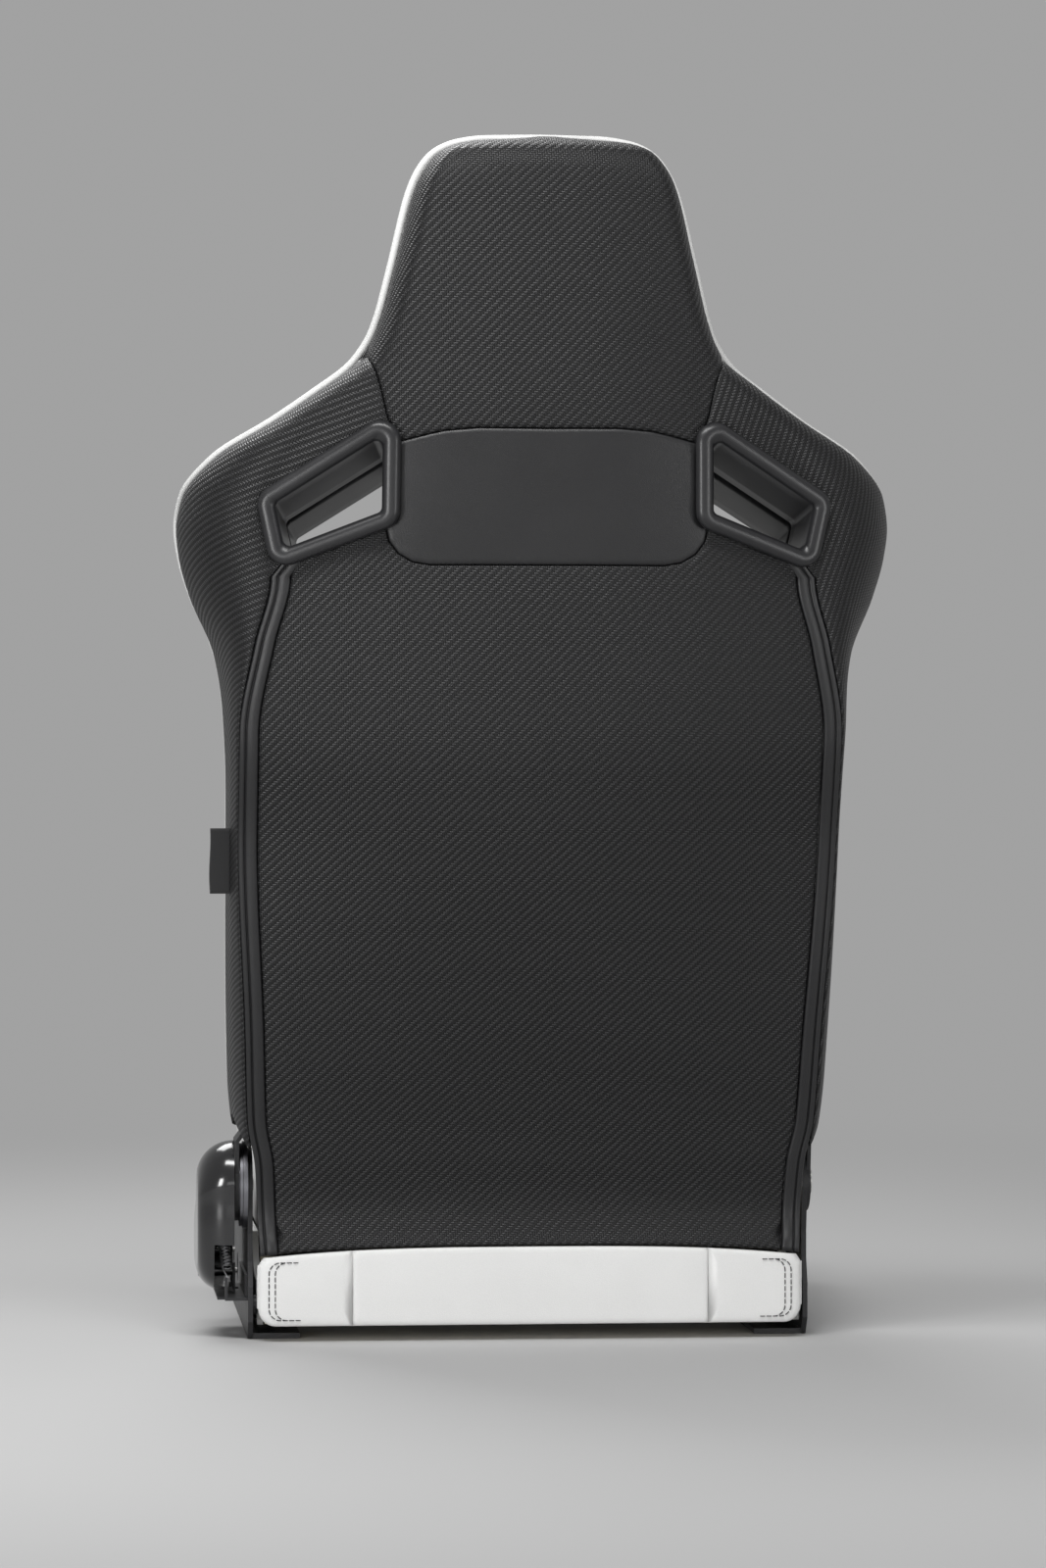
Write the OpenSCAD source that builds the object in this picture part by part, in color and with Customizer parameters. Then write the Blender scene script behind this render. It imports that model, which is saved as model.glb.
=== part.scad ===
// Reclining sport seat: tube frame, lofted upholstered back with two harness
// openings, sprung cushion base and a round recliner with a release lever.
// Millimetres. Origin: centre of the four base bolts on the mounting face.
// +Z is up, the occupant faces -Y, and +X is the recliner side.

/* [Overall] */
// Height of the top of the head above the mounting face
seat_h = 952; // [900:1:1150]
// Width across the shoulder wings
shoulder_w = 576; // [540:1:690]
// Height of the widest point of the shoulders
shoulder_z = 648; // [630:1:660]
// Width across the torso bolsters
waist_w = 491; // [485:1:510]
// Width across the back at its hem
hip_w = 434; // [428:1:440]
// Width of the head at its narrow top
head_w = 213; // [180:1:250]

/* [Cushion] */
// Width of the cushion, skirt to skirt
cushion_w = 438; // [430:1:446]
// Front face of the cushion, ahead of the bolt centre
cushion_front = 290; // [260:1:350]
// Rear face of the rear band, behind the bolt centre
band_rear = 268.5; // [268.5:0.5:275]
// Height of the skirts' lower edge
skirt_z = 12; // [8:1:20]
// Thickness of sewn cover panels, leather with its backing foam
skin_t = 5; // [3:0.5:6]
// Height of the cushion insert at its rear edge
seat_z_rear = 118; // [110:1:124]
// Height of the cushion insert at its front edge
seat_z_front = 176; // [150:1:180]
// Width of the centre inserts of cushion and back
insert_w = 300; // [270:1:310]
// Sewn channels across the cushion insert
cushion_channels = 6; // [3:1:8]
// Sewn channels across the back insert
back_channels = 8; // [4:1:10]
// Depth of a sewn channel
channel_d = 5; // [2:0.5:7]
// Height of the cushion bolsters above the insert
cushion_bolster_h = 34; // [15:1:40]

/* [Back] */
// How far the torso bolsters stand out in front of the insert
torso_bolster_d = 108; // [70:1:120]
// How far the shoulder wings stand out in front of the insert
wing_d = 92; // [60:1:110]
// Radius of the sewn edge piping
pipe_r = 3.2; // [2:0.1:4]
// Width of the zip strips down the lower panel
strip_w = 15; // [10:1:20]
// Gap left at the seams between cover panels
seam_gap = 0.6; // [0.4:0.1:1.5]

/* [Harness openings] */
// Rim width of the rear bezel
bezel_rim = 14; // [10:0.5:16]
// Wall of the harness sleeves
sleeve_wall = 3; // [2:0.5:4]
// How far the front opening lies below the rear one
sleeve_drop = 24; // [10:1:30]
// How far the front opening lies inboard of the rear one
sleeve_inset = 20; // [10:1:26]

/* [Frame] */
// Outside diameter of the back side tubes
side_tube_d = 25; // [20:1:25]
// Outside diameter of the head frame tubes
head_tube_d = 18; // [14:1:20]
// Outside diameter of the base cross tubes
cross_tube_d = 22; // [18:1:25]
// Wall of the tubes
tube_wall = 2; // [1:0.25:3]
// Wire of the flat zigzag springs
spring_wire_d = 3.5; // [2.5:0.1:4]

/* [Base and recliner] */
// Spacing of the mounting holes across the seat
bolt_dx = 400; // [380:1:404]
// Spacing of the mounting holes fore and aft
bolt_dy = 320; // [280:1:340]
// Diameter of the mounting holes
bolt_d = 8.5; // [6.5:0.1:10.5]
// Sheet thickness of the base side plates
plate_t = 4; // [3:0.5:4]
// Outer face of the base side plates
plate_x = 226; // [225.5:0.5:228]
// Recline pivot, behind the bolt centre
pivot_y = 218; // [216:0.5:220]
// Recline pivot, above the mounting face
pivot_z = 122; // [120:0.5:124]
// Diameter of the round recliner
disc_d = 70; // [56:1:74]
// Diameter of the slave hinge pin
pin_d = 12; // [8:0.5:16]
// Outer face of the recliner cover
cover_x = 266; // [260:1:275]
// Wall of the moulded recliner cover
cover_wall = 2.5; // [2:0.1:3.5]
// Length of the release lever, pivot to tip
lever_l = 118; // [100:1:140]

/* [Hidden] */
$fn = 48;
// running clearance between pieces of different bodies, gap at seats, half a gap between sewn pads
run_gap = 0.3;
seat_gap = 0.3;
edge_gap = 0.4;

// ---- interpolation and mesh helpers ---------------------------------------
// a table is a list of [position, value] with rising positions
function span(t, x, i = 0) = (i >= len(t) - 2 || x <= t[i + 1][0]) ? i : span(t, x, i + 1);
function chord(t, i) = (t[i + 1][1] - t[i][1]) / (t[i + 1][0] - t[i][0]);
function knot_slope(t, i) =
    i == 0 ? chord(t, 0)
    : i == len(t) - 1 ? chord(t, i - 1)
    : chord(t, i - 1) * chord(t, i) <= 0 ? 0
    : 2 * chord(t, i - 1) * chord(t, i) / (chord(t, i - 1) + chord(t, i));
// smooth value of a table at x, with no overshoot
function at(t, x) =
    let (i = span(t, x), h = t[i + 1][0] - t[i][0], u = max(0, min(1, (x - t[i][0]) / h)))
    t[i][1] * (2 * u^3 - 3 * u^2 + 1) + h * knot_slope(t, i) * (u^3 - 2 * u^2 + u)
    + t[i + 1][1] * (3 * u^2 - 2 * u^3) + h * knot_slope(t, i + 1) * (u^3 - u^2);
function mix(a, b, u) = a + (b - a) * u;
function total(v, i = 0) = i == len(v) - 1 ? v[i] : v[i] + total(v, i + 1);
function unit(v) = v / norm(v);
function mirror_x(pts) = [for (p = pts) [-p[0], p[1], p[2]]];

// closed solid through a list of rings with the same number of points, either way round
function reversed(r) = [for (i = [len(r) - 1:-1:0]) r[i]];
function middle(r) = total(r) / len(r);
function area_vector(r) = let (c = middle(r), n = len(r)) total([for (i = [0:n - 1]) cross(r[i] - c, r[(i + 1) % n] - c)]);
function forward(rings) = area_vector(rings[0]) * (middle(rings[1]) - middle(rings[0])) > 0;
function facing(rings, way) = way ? rings : [for (r = rings) reversed(r)];
module loft(given) {
    rings = facing(given, forward(given));
    n = len(rings[0]);
    m = len(rings);
    pts = concat([for (r = rings) each r], [middle(rings[0]), middle(rings[m - 1])]);
    polyhedron(pts, [
        for (j = [0:m - 2], i = [0:n - 1])
            each [[j * n + i, (j + 1) * n + i, j * n + (i + 1) % n],
                  [j * n + (i + 1) % n, (j + 1) * n + i, (j + 1) * n + (i + 1) % n]],
        for (i = [0:n - 1])
            each [[m * n, i, (i + 1) % n],
                  [m * n + 1, (m - 1) * n + (i + 1) % n, (m - 1) * n + i]]]);
}

// sheet of even thickness t behind a grid of points; rows run one way, columns the other
function grid_normal(g, j, i) =
    let (m = len(g) - 1, n = len(g[0]) - 1)
    unit(cross(g[min(j + 1, m)][i] - g[max(j - 1, 0)][i], g[j][min(i + 1, n)] - g[j][max(i - 1, 0)]));
module sheet(g, t) {
    m = len(g);
    n = len(g[0]);
    back = [for (j = [0:m - 1], i = [0:n - 1]) g[j][i] - t * grid_normal(g, j, i)];
    pts = concat([for (r = g) each r], back);
    k = m * n;
    polyhedron(pts, [
        for (j = [0:m - 2], i = [0:n - 2])
            let (a = j * n + i, b = a + 1, c = a + n, d = c + 1)
            each [[a, b, c], [b, d, c], [k + a, k + c, k + b], [k + b, k + c, k + d]],
        for (j = [0:m - 2])
            let (a = j * n, c = a + n, b = a + n - 1, d = b + n)
            each [[a, c, k + a], [c, k + c, k + a], [b, k + b, d], [d, k + b, k + d]],
        for (i = [0:n - 2])
            let (a = i, b = i + 1, c = (m - 1) * n + i, d = c + 1)
            each [[a, k + a, b], [b, k + a, k + b], [c, d, k + c], [d, k + d, k + c]]]);
}

// round bar along a path with flat ends, its section turned with the path
function tangent(p, i) = unit(p[min(i + 1, len(p) - 1)] - p[max(i - 1, 0)]);
function bar_rings(p, r, sides, ref) = [
    for (i = [0:len(p) - 1])
        let (tan = tangent(p, i), a = unit(cross(tan, ref)), b = cross(a, tan))
        [for (k = [0:sides - 1]) p[i] + r * (cos(360 * k / sides) * a + sin(360 * k / sides) * b)]];
module bar(p, r, sides = 8, ref = [0, 0, 1]) {
    loft(bar_rings(p, r, sides, ref));
}
// path with its corners rounded to radius r, n points per corner
function rounded(p, r, n = 5) = [
    for (i = [0:len(p) - 1])
        if (i == 0 || i == len(p) - 1) p[i]
        else
            let (a = unit(p[i - 1] - p[i]), b = unit(p[i + 1] - p[i]),
                 half = acos(max(-1, min(1, a * b))) / 2, cut = r / tan(half),
                 c = p[i] + unit(a + b) * r / sin(half))
            each [for (k = [0:n]) let (q = mix(p[i] + a * cut, p[i] + b * cut, k / n))
                  c + r * unit(q - c)]];

// outline in a plane with rounded corners, as a list of [x, y]
function rounded_outline(p, r, n = 4) = [
    for (i = [0:len(p) - 1])
        let (m = len(p), a = unit(p[(i + m - 1) % m] - p[i]), b = unit(p[(i + 1) % m] - p[i]),
             half = acos(a * b) / 2, cut = r / tan(half), c = p[i] + unit(a + b) * r / sin(half))
        each [for (k = [0:n]) let (q = mix(p[i] + a * cut, p[i] + b * cut, k / n)) c + r * unit(q - c)]];

// ---- shape of the back ----------------------------------------------------
hem_y = band_rear - 0.5;
hip_x = hip_w / 2;
waist_x = waist_w / 2;
wing_x = shoulder_w / 2;
head_x = head_w / 2;
inner_face = plate_x - plate_t;

// lower edge of the back, lower towards its ends
function hem_at(x) = 76 - 8 * min(1, abs(x) / hip_x)^3;
// half width over height, with the piping
outer_x = [[50, hip_x + 3], [110, hip_x + 8], [150, waist_x - 10], [180, waist_x - 4.5], [210, waist_x - 2],
    [300, waist_x], [445, waist_x + 1], [504, waist_x + 4], [547, waist_x + 11], [594, wing_x - 11.5],
    [shoulder_z - 22, wing_x - 2.4], [shoulder_z, wing_x], [shoulder_z + 24, wing_x - 4],
    [shoulder_z + 54, wing_x - 28], [shoulder_z + 83, wing_x - 75], [seat_h - 202, head_x + 78],
    [seat_h - 177, head_x + 45], [seat_h - 152, head_x + 29.5], [seat_h - 101, head_x + 15.5],
    [seat_h - 40, head_x], [seat_h - 17, head_x - 14], [seat_h - 7, head_x - 31],
    [seat_h - 1.5, head_x - 64], [seat_h, head_x - 88]];
// where the rear face turns into the side: the zip strips' outer edge lower down
corner_x = [[50, hip_x - 1], [92, hip_x + 2], [140, hip_x + 4.5], [175, waist_x - 18], [250, waist_x - 15],
    [406, waist_x - 8], [483, waist_x - 8], [552, waist_x - 19.5], [606, waist_x - 32],
    [shoulder_z, wing_x - 65], [shoulder_z + 54, wing_x - 89], [shoulder_z + 83, wing_x - 118],
    [seat_h - 177, head_x + 13], [seat_h - 101, head_x - 8], [seat_h - 40, head_x - 21],
    [seat_h - 17, head_x - 34], [seat_h - 7, head_x - 50], [seat_h, head_x - 94]];
// fore and aft places over height: centre line of the rear face, its corner, and the piping
rear_y = [[50, hem_y + 3], [76, hem_y], [86, hem_y - 6], [100, hem_y - 9], [150, hem_y + 2],
    [250, hem_y + 38], [430, hem_y + 104], [480, hem_y + 118], [600, hem_y + 135], [730, hem_y + 153],
    [seat_h - 101, hem_y + 165], [seat_h - 30, hem_y + 170], [seat_h - 14, hem_y + 165],
    [seat_h - 5, hem_y + 150], [seat_h, hem_y + 128]];
corner_y = [[50, hem_y - 2], [76, hem_y - 4], [86, hem_y - 8], [100, hem_y - 12], [150, hem_y],
    [285, hem_y + 38], [400, hem_y + 62], [483, hem_y + 92], [600, hem_y + 110], [650, hem_y + 109],
    [700, hem_y + 116], [seat_h - 177, hem_y + 144], [seat_h - 101, hem_y + 157],
    [seat_h - 40, hem_y + 162], [seat_h - 17, hem_y + 158], [seat_h - 7, hem_y + 146],
    [seat_h, hem_y + 120]];
pipe_y = [[50, hem_y - 94], [150, hem_y - 90], [300, hem_y - 65], [500, hem_y - 20], [600, hem_y - 10],
    [650, hem_y], [700, hem_y + 40], [seat_h - 177, hem_y + 83], [seat_h - 101, hem_y + 100],
    [seat_h, hem_y + 98]];
// front surface on the centre line
front_y = [[130, hem_y - 98], [300, hem_y - 53], [500, hem_y - 3], [650, hem_y + 32], [750, hem_y + 50],
    [seat_h - 52, hem_y + 62], [seat_h, hem_y + 76]];

// outer surface at height z, t from 0 on the centre line to 1 at the piping
rear_share = 0.6;
function skin_pt(z, t) =
    let (a = abs(t), s = t < 0 ? -1 : 1, xc = at(corner_x, z), yc = at(corner_y, z),
         ym = at(rear_y, z), xo = at(outer_x, z) - pipe_r, yp = at(pipe_y, z))
    a <= rear_share
        ? [s * xc * a / rear_share, ym - (ym - yc) * (a / rear_share)^2.4, z]
        : let (u = 90 * (a - rear_share) / (1 - rear_share))
          [s * (xc + (xo - xc) * sin(u)), yp + (yc - yp) * cos(u), z];
// fore and aft place of the outer surface at x, z
function skin_y(x, z) =
    let (a = abs(x), xc = at(corner_x, z), xo = at(outer_x, z) - pipe_r)
    a <= xc ? at(rear_y, z) - (at(rear_y, z) - at(corner_y, z)) * (a / xc)^2.4
    : at(pipe_y, z) + (at(corner_y, z) - at(pipe_y, z)) * cos(asin(min(1, (a - xc) / (xo - xc))));

skin_z = [60, 76, 86, 100, 130, 175, 240, 320, 400, 470, 530, 570, 600, 625, 648, 668, 686, 702, 718, 734,
    for (d = [202, 189, 177, 163, 148, 120, 80, 45, 28, 18, 11, 6, 3]) seat_h - d];
skin_cols = 26;
// front edge of the cover across the top of the head
function top_edge(t) = [t * (at(outer_x, seat_h - 2) - pipe_r), at(pipe_y, seat_h) + 9 * (1 - t * t), seat_h - 1];
// the cover between two heights, whole or from the centre line to one side only
module skin(z0, z1, half) {
    share = [for (i = [half ? skin_cols / 2 : 0:skin_cols]) 2 * i / skin_cols - 1];
    rows = [for (z = skin_z) if (z > z0 && z < z1) [for (t = share) skin_pt(z, t)]];
    sheet(z1 > seat_h ? concat(rows, [[for (t = share) top_edge(t)]]) : rows, skin_t);
}
// the rear face alone, up to the edge where it turns into the side
module rear_face() {
    cols = 16;
    sheet([for (z = skin_z) if (z < shoulder_z) [for (i = [0:cols]) skin_pt(z, rear_share * (2 * i / cols - 1))]],
        skin_t);
}
module behind(outline) {
    translate([0, hem_y + 300, 0]) rotate([90, 0, 0]) linear_extrude(500) polygon(outline);
}
// the part of the cover whose outline, seen from behind, is the polygon; it lies well between z0 and z1
module panel(outline, z0, z1, half = false) {
    intersection() {
        skin(z0, z1, half);
        behind(outline);
    }
}

// ---- harness openings ------------------------------------------------------
// rear bezel, outside corners seen from behind, inner top corner first
bezel_quad = [[114, 739], [115, 646], [213, 609], [226, 669]];
bezel_mid = total(bezel_quad) / 4;
bezel_corner_r = 9;
function turn_left(v) = [-v[1], v[0]];
// convex outline drawn in by d
function inset(p, d) = [
    for (i = [0:len(p) - 1])
        let (m = len(p), n1 = turn_left(unit(p[i] - p[(i + m - 1) % m])),
             n2 = turn_left(unit(p[(i + 1) % m] - p[i])))
        p[i] + d * (n1 + n2) / (1 + n1 * n2)];
function opening_outline(grow) =
    rounded_outline(inset(bezel_quad, bezel_rim - grow), max(5, bezel_corner_r - bezel_rim / 2 + grow));
// plane through three corners of the rear bezel, lifted clear of the fourth
function on_skin(p) = [p[0], skin_y(p[0], p[1]), p[1]];
bezel_n = let (v = unit(cross(on_skin(bezel_quad[3]) - on_skin(bezel_quad[1]),
                              on_skin(bezel_quad[0]) - on_skin(bezel_quad[2])))) v[1] < 0 ? -v : v;
bezel_lift = 2 + max([for (p = concat(bezel_quad, [bezel_mid])) on_skin(p) * bezel_n])
    - on_skin(bezel_mid) * bezel_n;
function rear_plane_y(x, z) =
    let (o = on_skin(bezel_mid)) o[1] + (bezel_lift - bezel_n[0] * (x - o[0]) - bezel_n[2] * (z - o[2])) / bezel_n[1];
function front_plane_y(z) = at(front_y, z) - 1.5;
// the opening at a share u of its depth, 0 at the rear bezel and 1 at the front one
function opening_ring(grow, u) = [
    for (p = opening_outline(grow))
        let (a = [p[0], rear_plane_y(p[0], p[1]), p[1]], x = p[0] - sleeve_inset, z = p[1] - sleeve_drop,
             b = [x, front_plane_y(z), z])
        mix(a, b, u)];
// tube between outer and inner rings
module hollow_loft(outside, inside) {
    outer = facing(outside, forward(outside));
    inner = facing(inside, forward(outside));
    n = len(outer[0]);
    m = len(outer);
    k = m * n;
    pts = concat([for (r = outer) each r], [for (r = inner) each r]);
    polyhedron(pts, [
        for (j = [0:m - 2], i = [0:n - 1])
            let (a = j * n + i, b = j * n + (i + 1) % n, c = a + n, d = b + n)
            each [[a, c, b], [b, c, d], [k + a, k + b, k + c], [k + b, k + d, k + c]],
        for (i = [0:n - 1])
            let (a = i, b = (i + 1) % n, c = (m - 1) * n + i, d = (m - 1) * n + (i + 1) % n)
            each [[a, b, k + a], [b, k + b, k + a], [c, k + c, d], [d, k + c, k + d]]]);
}
module sleeve(u0, u1, grow = 0) {
    hollow_loft([opening_ring(grow + sleeve_wall, u0), opening_ring(grow + sleeve_wall, u1)],
                [opening_ring(grow, u0), opening_ring(grow, u1)]);
}
// straight slanted plug that clears the sleeves, with rings where theirs are
sleeve_u = [-0.006, 0.5, 0.504, 1.006];
module sleeve_plug(clear) {
    loft([for (u = [-0.6, sleeve_u[0], sleeve_u[1], sleeve_u[3], 1.6]) opening_ring(sleeve_wall + clear, u)]);
}
// raised round rim on a plane, rim points given by centre line, normal and height
module rim(centre, n, w, h) {
    m = len(centre);
    arc = [for (k = [0:5]) [-w / 2 * cos(36 * k), h * sin(36 * k)]];
    s = len(arc);
    pts = [for (i = [0:m - 1])
        let (tan = unit(centre[(i + 1) % m] - centre[(i + m - 1) % m]), out = unit(cross(tan, n)))
        each [for (q = arc) centre[i] + q[0] * out + q[1] * n]];
    polyhedron(pts, [
        for (i = [0:m - 1], k = [0:s - 1])
            let (a = i * s + k, b = i * s + (k + 1) % s, c = ((i + 1) % m) * s + k,
                 d = ((i + 1) % m) * s + (k + 1) % s)
            each [[a, c, b], [b, c, d]]]);
}
rim_mid_ring = rounded_outline(inset(bezel_quad, bezel_rim / 2), bezel_corner_r);
module bezel_rear() {
    color("#151515") {
        rim([for (p = rim_mid_ring) [p[0], rear_plane_y(p[0], p[1]) + 0.1, p[1]]], bezel_n, bezel_rim, 7);
        sleeve(sleeve_u[0], sleeve_u[1]);
    }
}
module bezel_front() {
    n = unit([0, -1, (front_plane_y(700) - front_plane_y(600)) / 100]);
    color("#151515") {
        rim([for (p = rim_mid_ring) let (x = p[0] - sleeve_inset, z = p[1] - sleeve_drop)
             [x, front_plane_y(z) - 0.1, z]], n, bezel_rim - 2, 5);
        sleeve(sleeve_u[2], sleeve_u[3]);
    }
}
module both_sides(side) {
    if (side > 0) children();
    else mirror([1, 0, 0]) children();
}

// ---- covers of the back ----------------------------------------------------
strip_edge_z = [50, 92, 140, 175, 250, 330, 406, 483, 520, 552, 580, 606];
function strip_edge(z, inner) = [at(corner_x, z) - (inner ? strip_w : 0), z];
yoke_z = 614.5;
yoke_x = 92;
yoke_top = [[0, 719.5], [54, 720], [80, 718], [92, 715.5], [118, 709]];
yoke_side = [for (k = [0:4]) [yoke_x + 34 * sin(22.5 * k), yoke_z + 30 - 30 * cos(22.5 * k)]];
head_seam = [[125.5, 730], [129, 746], [133, 761], [140, 777], [156, 792], [320, 815]];
function mirrored(p) = concat(p, [for (i = [len(p) - 1:-1:0]) if (p[i][0] != 0) [-p[i][0], p[i][1]]]);
hinge_cut_r = 58;

module head_panel() {
    color("#1c1c1e") difference() {
        panel(mirrored(concat([for (p = yoke_top) p + [0, seam_gap / 2]],
            [for (p = head_seam) p + [-seam_gap / 2, seam_gap / 2]], [[320, seat_h + 50], [0, seat_h + 50]])), 695, seat_h + 1);
        for (s = [1, -1]) both_sides(s) sleeve_plug(bezel_rim - sleeve_wall - 4);
    }
}
module yoke_panel() {
    color("#18181a") difference() {
        panel(mirrored(concat([[0, yoke_z + seam_gap / 2]],
            [for (p = yoke_side) p + [-seam_gap / 2, seam_gap / 2]], [bezel_mid],
            [for (i = [len(yoke_top) - 1:-1:0]) yoke_top[i] - [0, seam_gap / 2]])), 560, 760);
        for (s = [1, -1]) both_sides(s) sleeve_plug(bezel_rim - sleeve_wall - 4);
    }
}
module lower_panel() {
    hem = [for (x = [0:31:186]) [x, hem_at(x)]];
    color("#1c1c1e") difference() {
        panel(mirrored(concat(hem,
            [for (z = strip_edge_z) if (z > 80) strip_edge(z, true) - [seam_gap, 0]], [bezel_mid],
            [for (i = [4:-1:0]) yoke_side[i] + [seam_gap / 2, -seam_gap / 2]],
            [[0, yoke_z - seam_gap / 2]])), 0, 695);
        for (s = [1, -1]) both_sides(s) sleeve_plug(bezel_rim - sleeve_wall - 4);
    }
}
module wing_panel() {
    color("#1c1c1e") difference() {
        panel(concat([for (z = strip_edge_z) if (z > 100) strip_edge(z, false) + [seam_gap, 0]], [bezel_mid],
            [for (p = concat([yoke_top[len(yoke_top) - 1]], head_seam)) p + [seam_gap / 2, -seam_gap / 2]],
            [[wing_x + 40, 814], [wing_x + 40, 110]]), 80, 880, true);
        sleeve_plug(bezel_rim - sleeve_wall - 4);
        translate([0, pivot_y, pivot_z]) rotate([0, 90, 0]) cylinder(r = hinge_cut_r, h = wing_x + 60);
    }
}
module zip_strips() {
    inner = [for (z = strip_edge_z) if (z > 80) strip_edge(z, true)];
    outer = [for (z = strip_edge_z) if (z > 80) strip_edge(z, false) + [z < 606 ? 2 : 0, 0]];
    color("#101012") for (s = [1, -1]) both_sides(s) difference() {
        intersection() {
            rear_face();
            behind(concat(inner, [bezel_mid], reversed(outer),
                [[hip_x + 2, hem_at(hip_x)], [hip_x - strip_w, hem_at(hip_x - strip_w)]]));
        }
        sleeve_plug(bezel_rim - sleeve_wall - 4);
    }
}
// slider and puller, parked at the hem under the flap
module zip_pulls() {
    color("#8a8a8a") for (s = [1, -1]) both_sides(s)
        translate([hip_x - strip_w + 3, skin_y(hip_x - 6, 100) - skin_t - 3.5, 100]) {
            cube([6, 3, 9]);
            translate([1.5, 0.5, -13]) cube([3, 1.5, 13]);
        }
}
pipe_z = [for (z = skin_z) if (z >= 175) z];
module edge_piping() {
    ahead = [0, -1, 0];
    edge = [for (z = pipe_z) [at(outer_x, z) - pipe_r, at(pipe_y, z), z]];
    side = [for (i = [0:len(edge) - 1])
        let (t = tangent(edge, i)) edge[i] + (pipe_r + seat_gap) * unit(ahead - (ahead * t) * t)];
    over = [for (t = [0.9, 0.55, 0.2]) top_edge(t) - [0, pipe_r + 3.8, pipe_r - 1]];
    half = concat(side, over);
    color("#f2f2f2") bar(concat(half, mirror_x(reversed(half))), pipe_r, 6, ahead);
}
// folded woven tab in the side seam
module side_tab() {
    tab_w = 17;
    tab_t = 1.6;
    color("#151515") loft([for (z = [358, 375, 392, 410])
        let (p = skin_pt(z, 0.81), x = p[0] + seat_gap + 0.2, y = p[1] - tab_t / 2)
        [[x, y, z], [x + tab_w, y, z], [x + tab_w, y + tab_t, z], [x, y + tab_t, z]]]);
}

// ---- pads of the front -----------------------------------------------------
side_tube_x = inner_face - 8.5;
tube_lean = 0.2146;
function tube_y(z) = pivot_y + 10 + (z - 165) * tube_lean;
post_z0 = 575;
post_x = 90;
post_lean = 0.234;
function post_y(z) = tube_y(post_z0) + (z - post_z0) * post_lean;
insert_x = insert_w / 2;
// back faces of the pads lie on the frame
function pad_back_y(z) = (z < post_z0 ? tube_y(z) - side_tube_d / 2 : post_y(z) - side_tube_d / 2) - 1;

// front of a channelled insert: depth of the surface behind its crown
function channel(u, count) = let (f = u * count - floor(u * count)) channel_d * (1 - sqrt(max(0, 1 - (2 * f - 1)^4)));
insert_z0 = 132;
insert_z1 = 586;
back_insert_x = [[insert_z0, insert_x + 45], [150, insert_x + 38], [170, insert_x], [300, insert_x], [450, insert_x - 4], [540, insert_x - 22],
    [insert_z1, insert_x - 40]];
module back_insert() {
    rows = back_channels * 4;
    color("#ededed") loft([for (j = [0:rows])
        let (u = j / rows, z = mix(insert_z0, insert_z1, u), w = at(back_insert_x, z) - edge_gap,
             cut = channel(u, back_channels) + (j == 0 || j == rows ? 6 : 0), yf = at(front_y, z) + cut)
        concat([for (k = [-4:4]) let (s = k / 4) [s * w, yf + (k == -4 || k == 4 ? 9 : 4 * s * s), z]],
            [[w, pad_back_y(z), z], [0, pad_back_y(z), z], [-w, pad_back_y(z), z]])]);
}

// torso bolster: crest line in front of the insert, its lower nose over the cushion
bolster_z = [180, 186, 196, 212, 235, 300, 380, 450, 475, 500, 520, 540, 566, insert_z1];
bolster_crest = [[180, 0.3], [186, 0.5], [200, 0.74], [235, 0.94], [300, 1], [420, 0.95], [500, 0.78],
    [540, 0.55], [insert_z1, 0.3]];
module torso_bolster() {
    color("#f4f4f4") loft([for (z = bolster_z)
        let (xi = at(back_insert_x, z) + edge_gap, xo = at(outer_x, z) - pipe_r - 1, yp = at(pipe_y, z) - 2 * pipe_r - 2,
             yf = at(front_y, z), yc = min(yf, yp) - torso_bolster_d * at(bolster_crest, z),
             xc = mix(xi, xo, 0.66), yb = pad_back_y(z), xb = side_tube_x + 3)
        [[xo, yp, z], [xo + 0.3, mix(yp, yc, 0.45), z], [xo - 5, mix(yp, yc, 0.8), z],
         [mix(xc, xo, 0.45), mix(yp, yc, 0.97), z], [xc, yc, z], [mix(xc, xi, 0.3), mix(yc, yf, 0.05), z],
         [mix(xc, xi, 0.6), mix(yc, yf, 0.3), z], [mix(xc, xi, 0.82), mix(yc, yf, 0.68), z],
         [xi + 0.5, mix(yc, yf, 0.96), z], [xi, yf + 9, z], [xi, yb, z], [xb, yb, z],
         [xo - skin_t - 2, at(pipe_y, z), z]]]);
}

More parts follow.
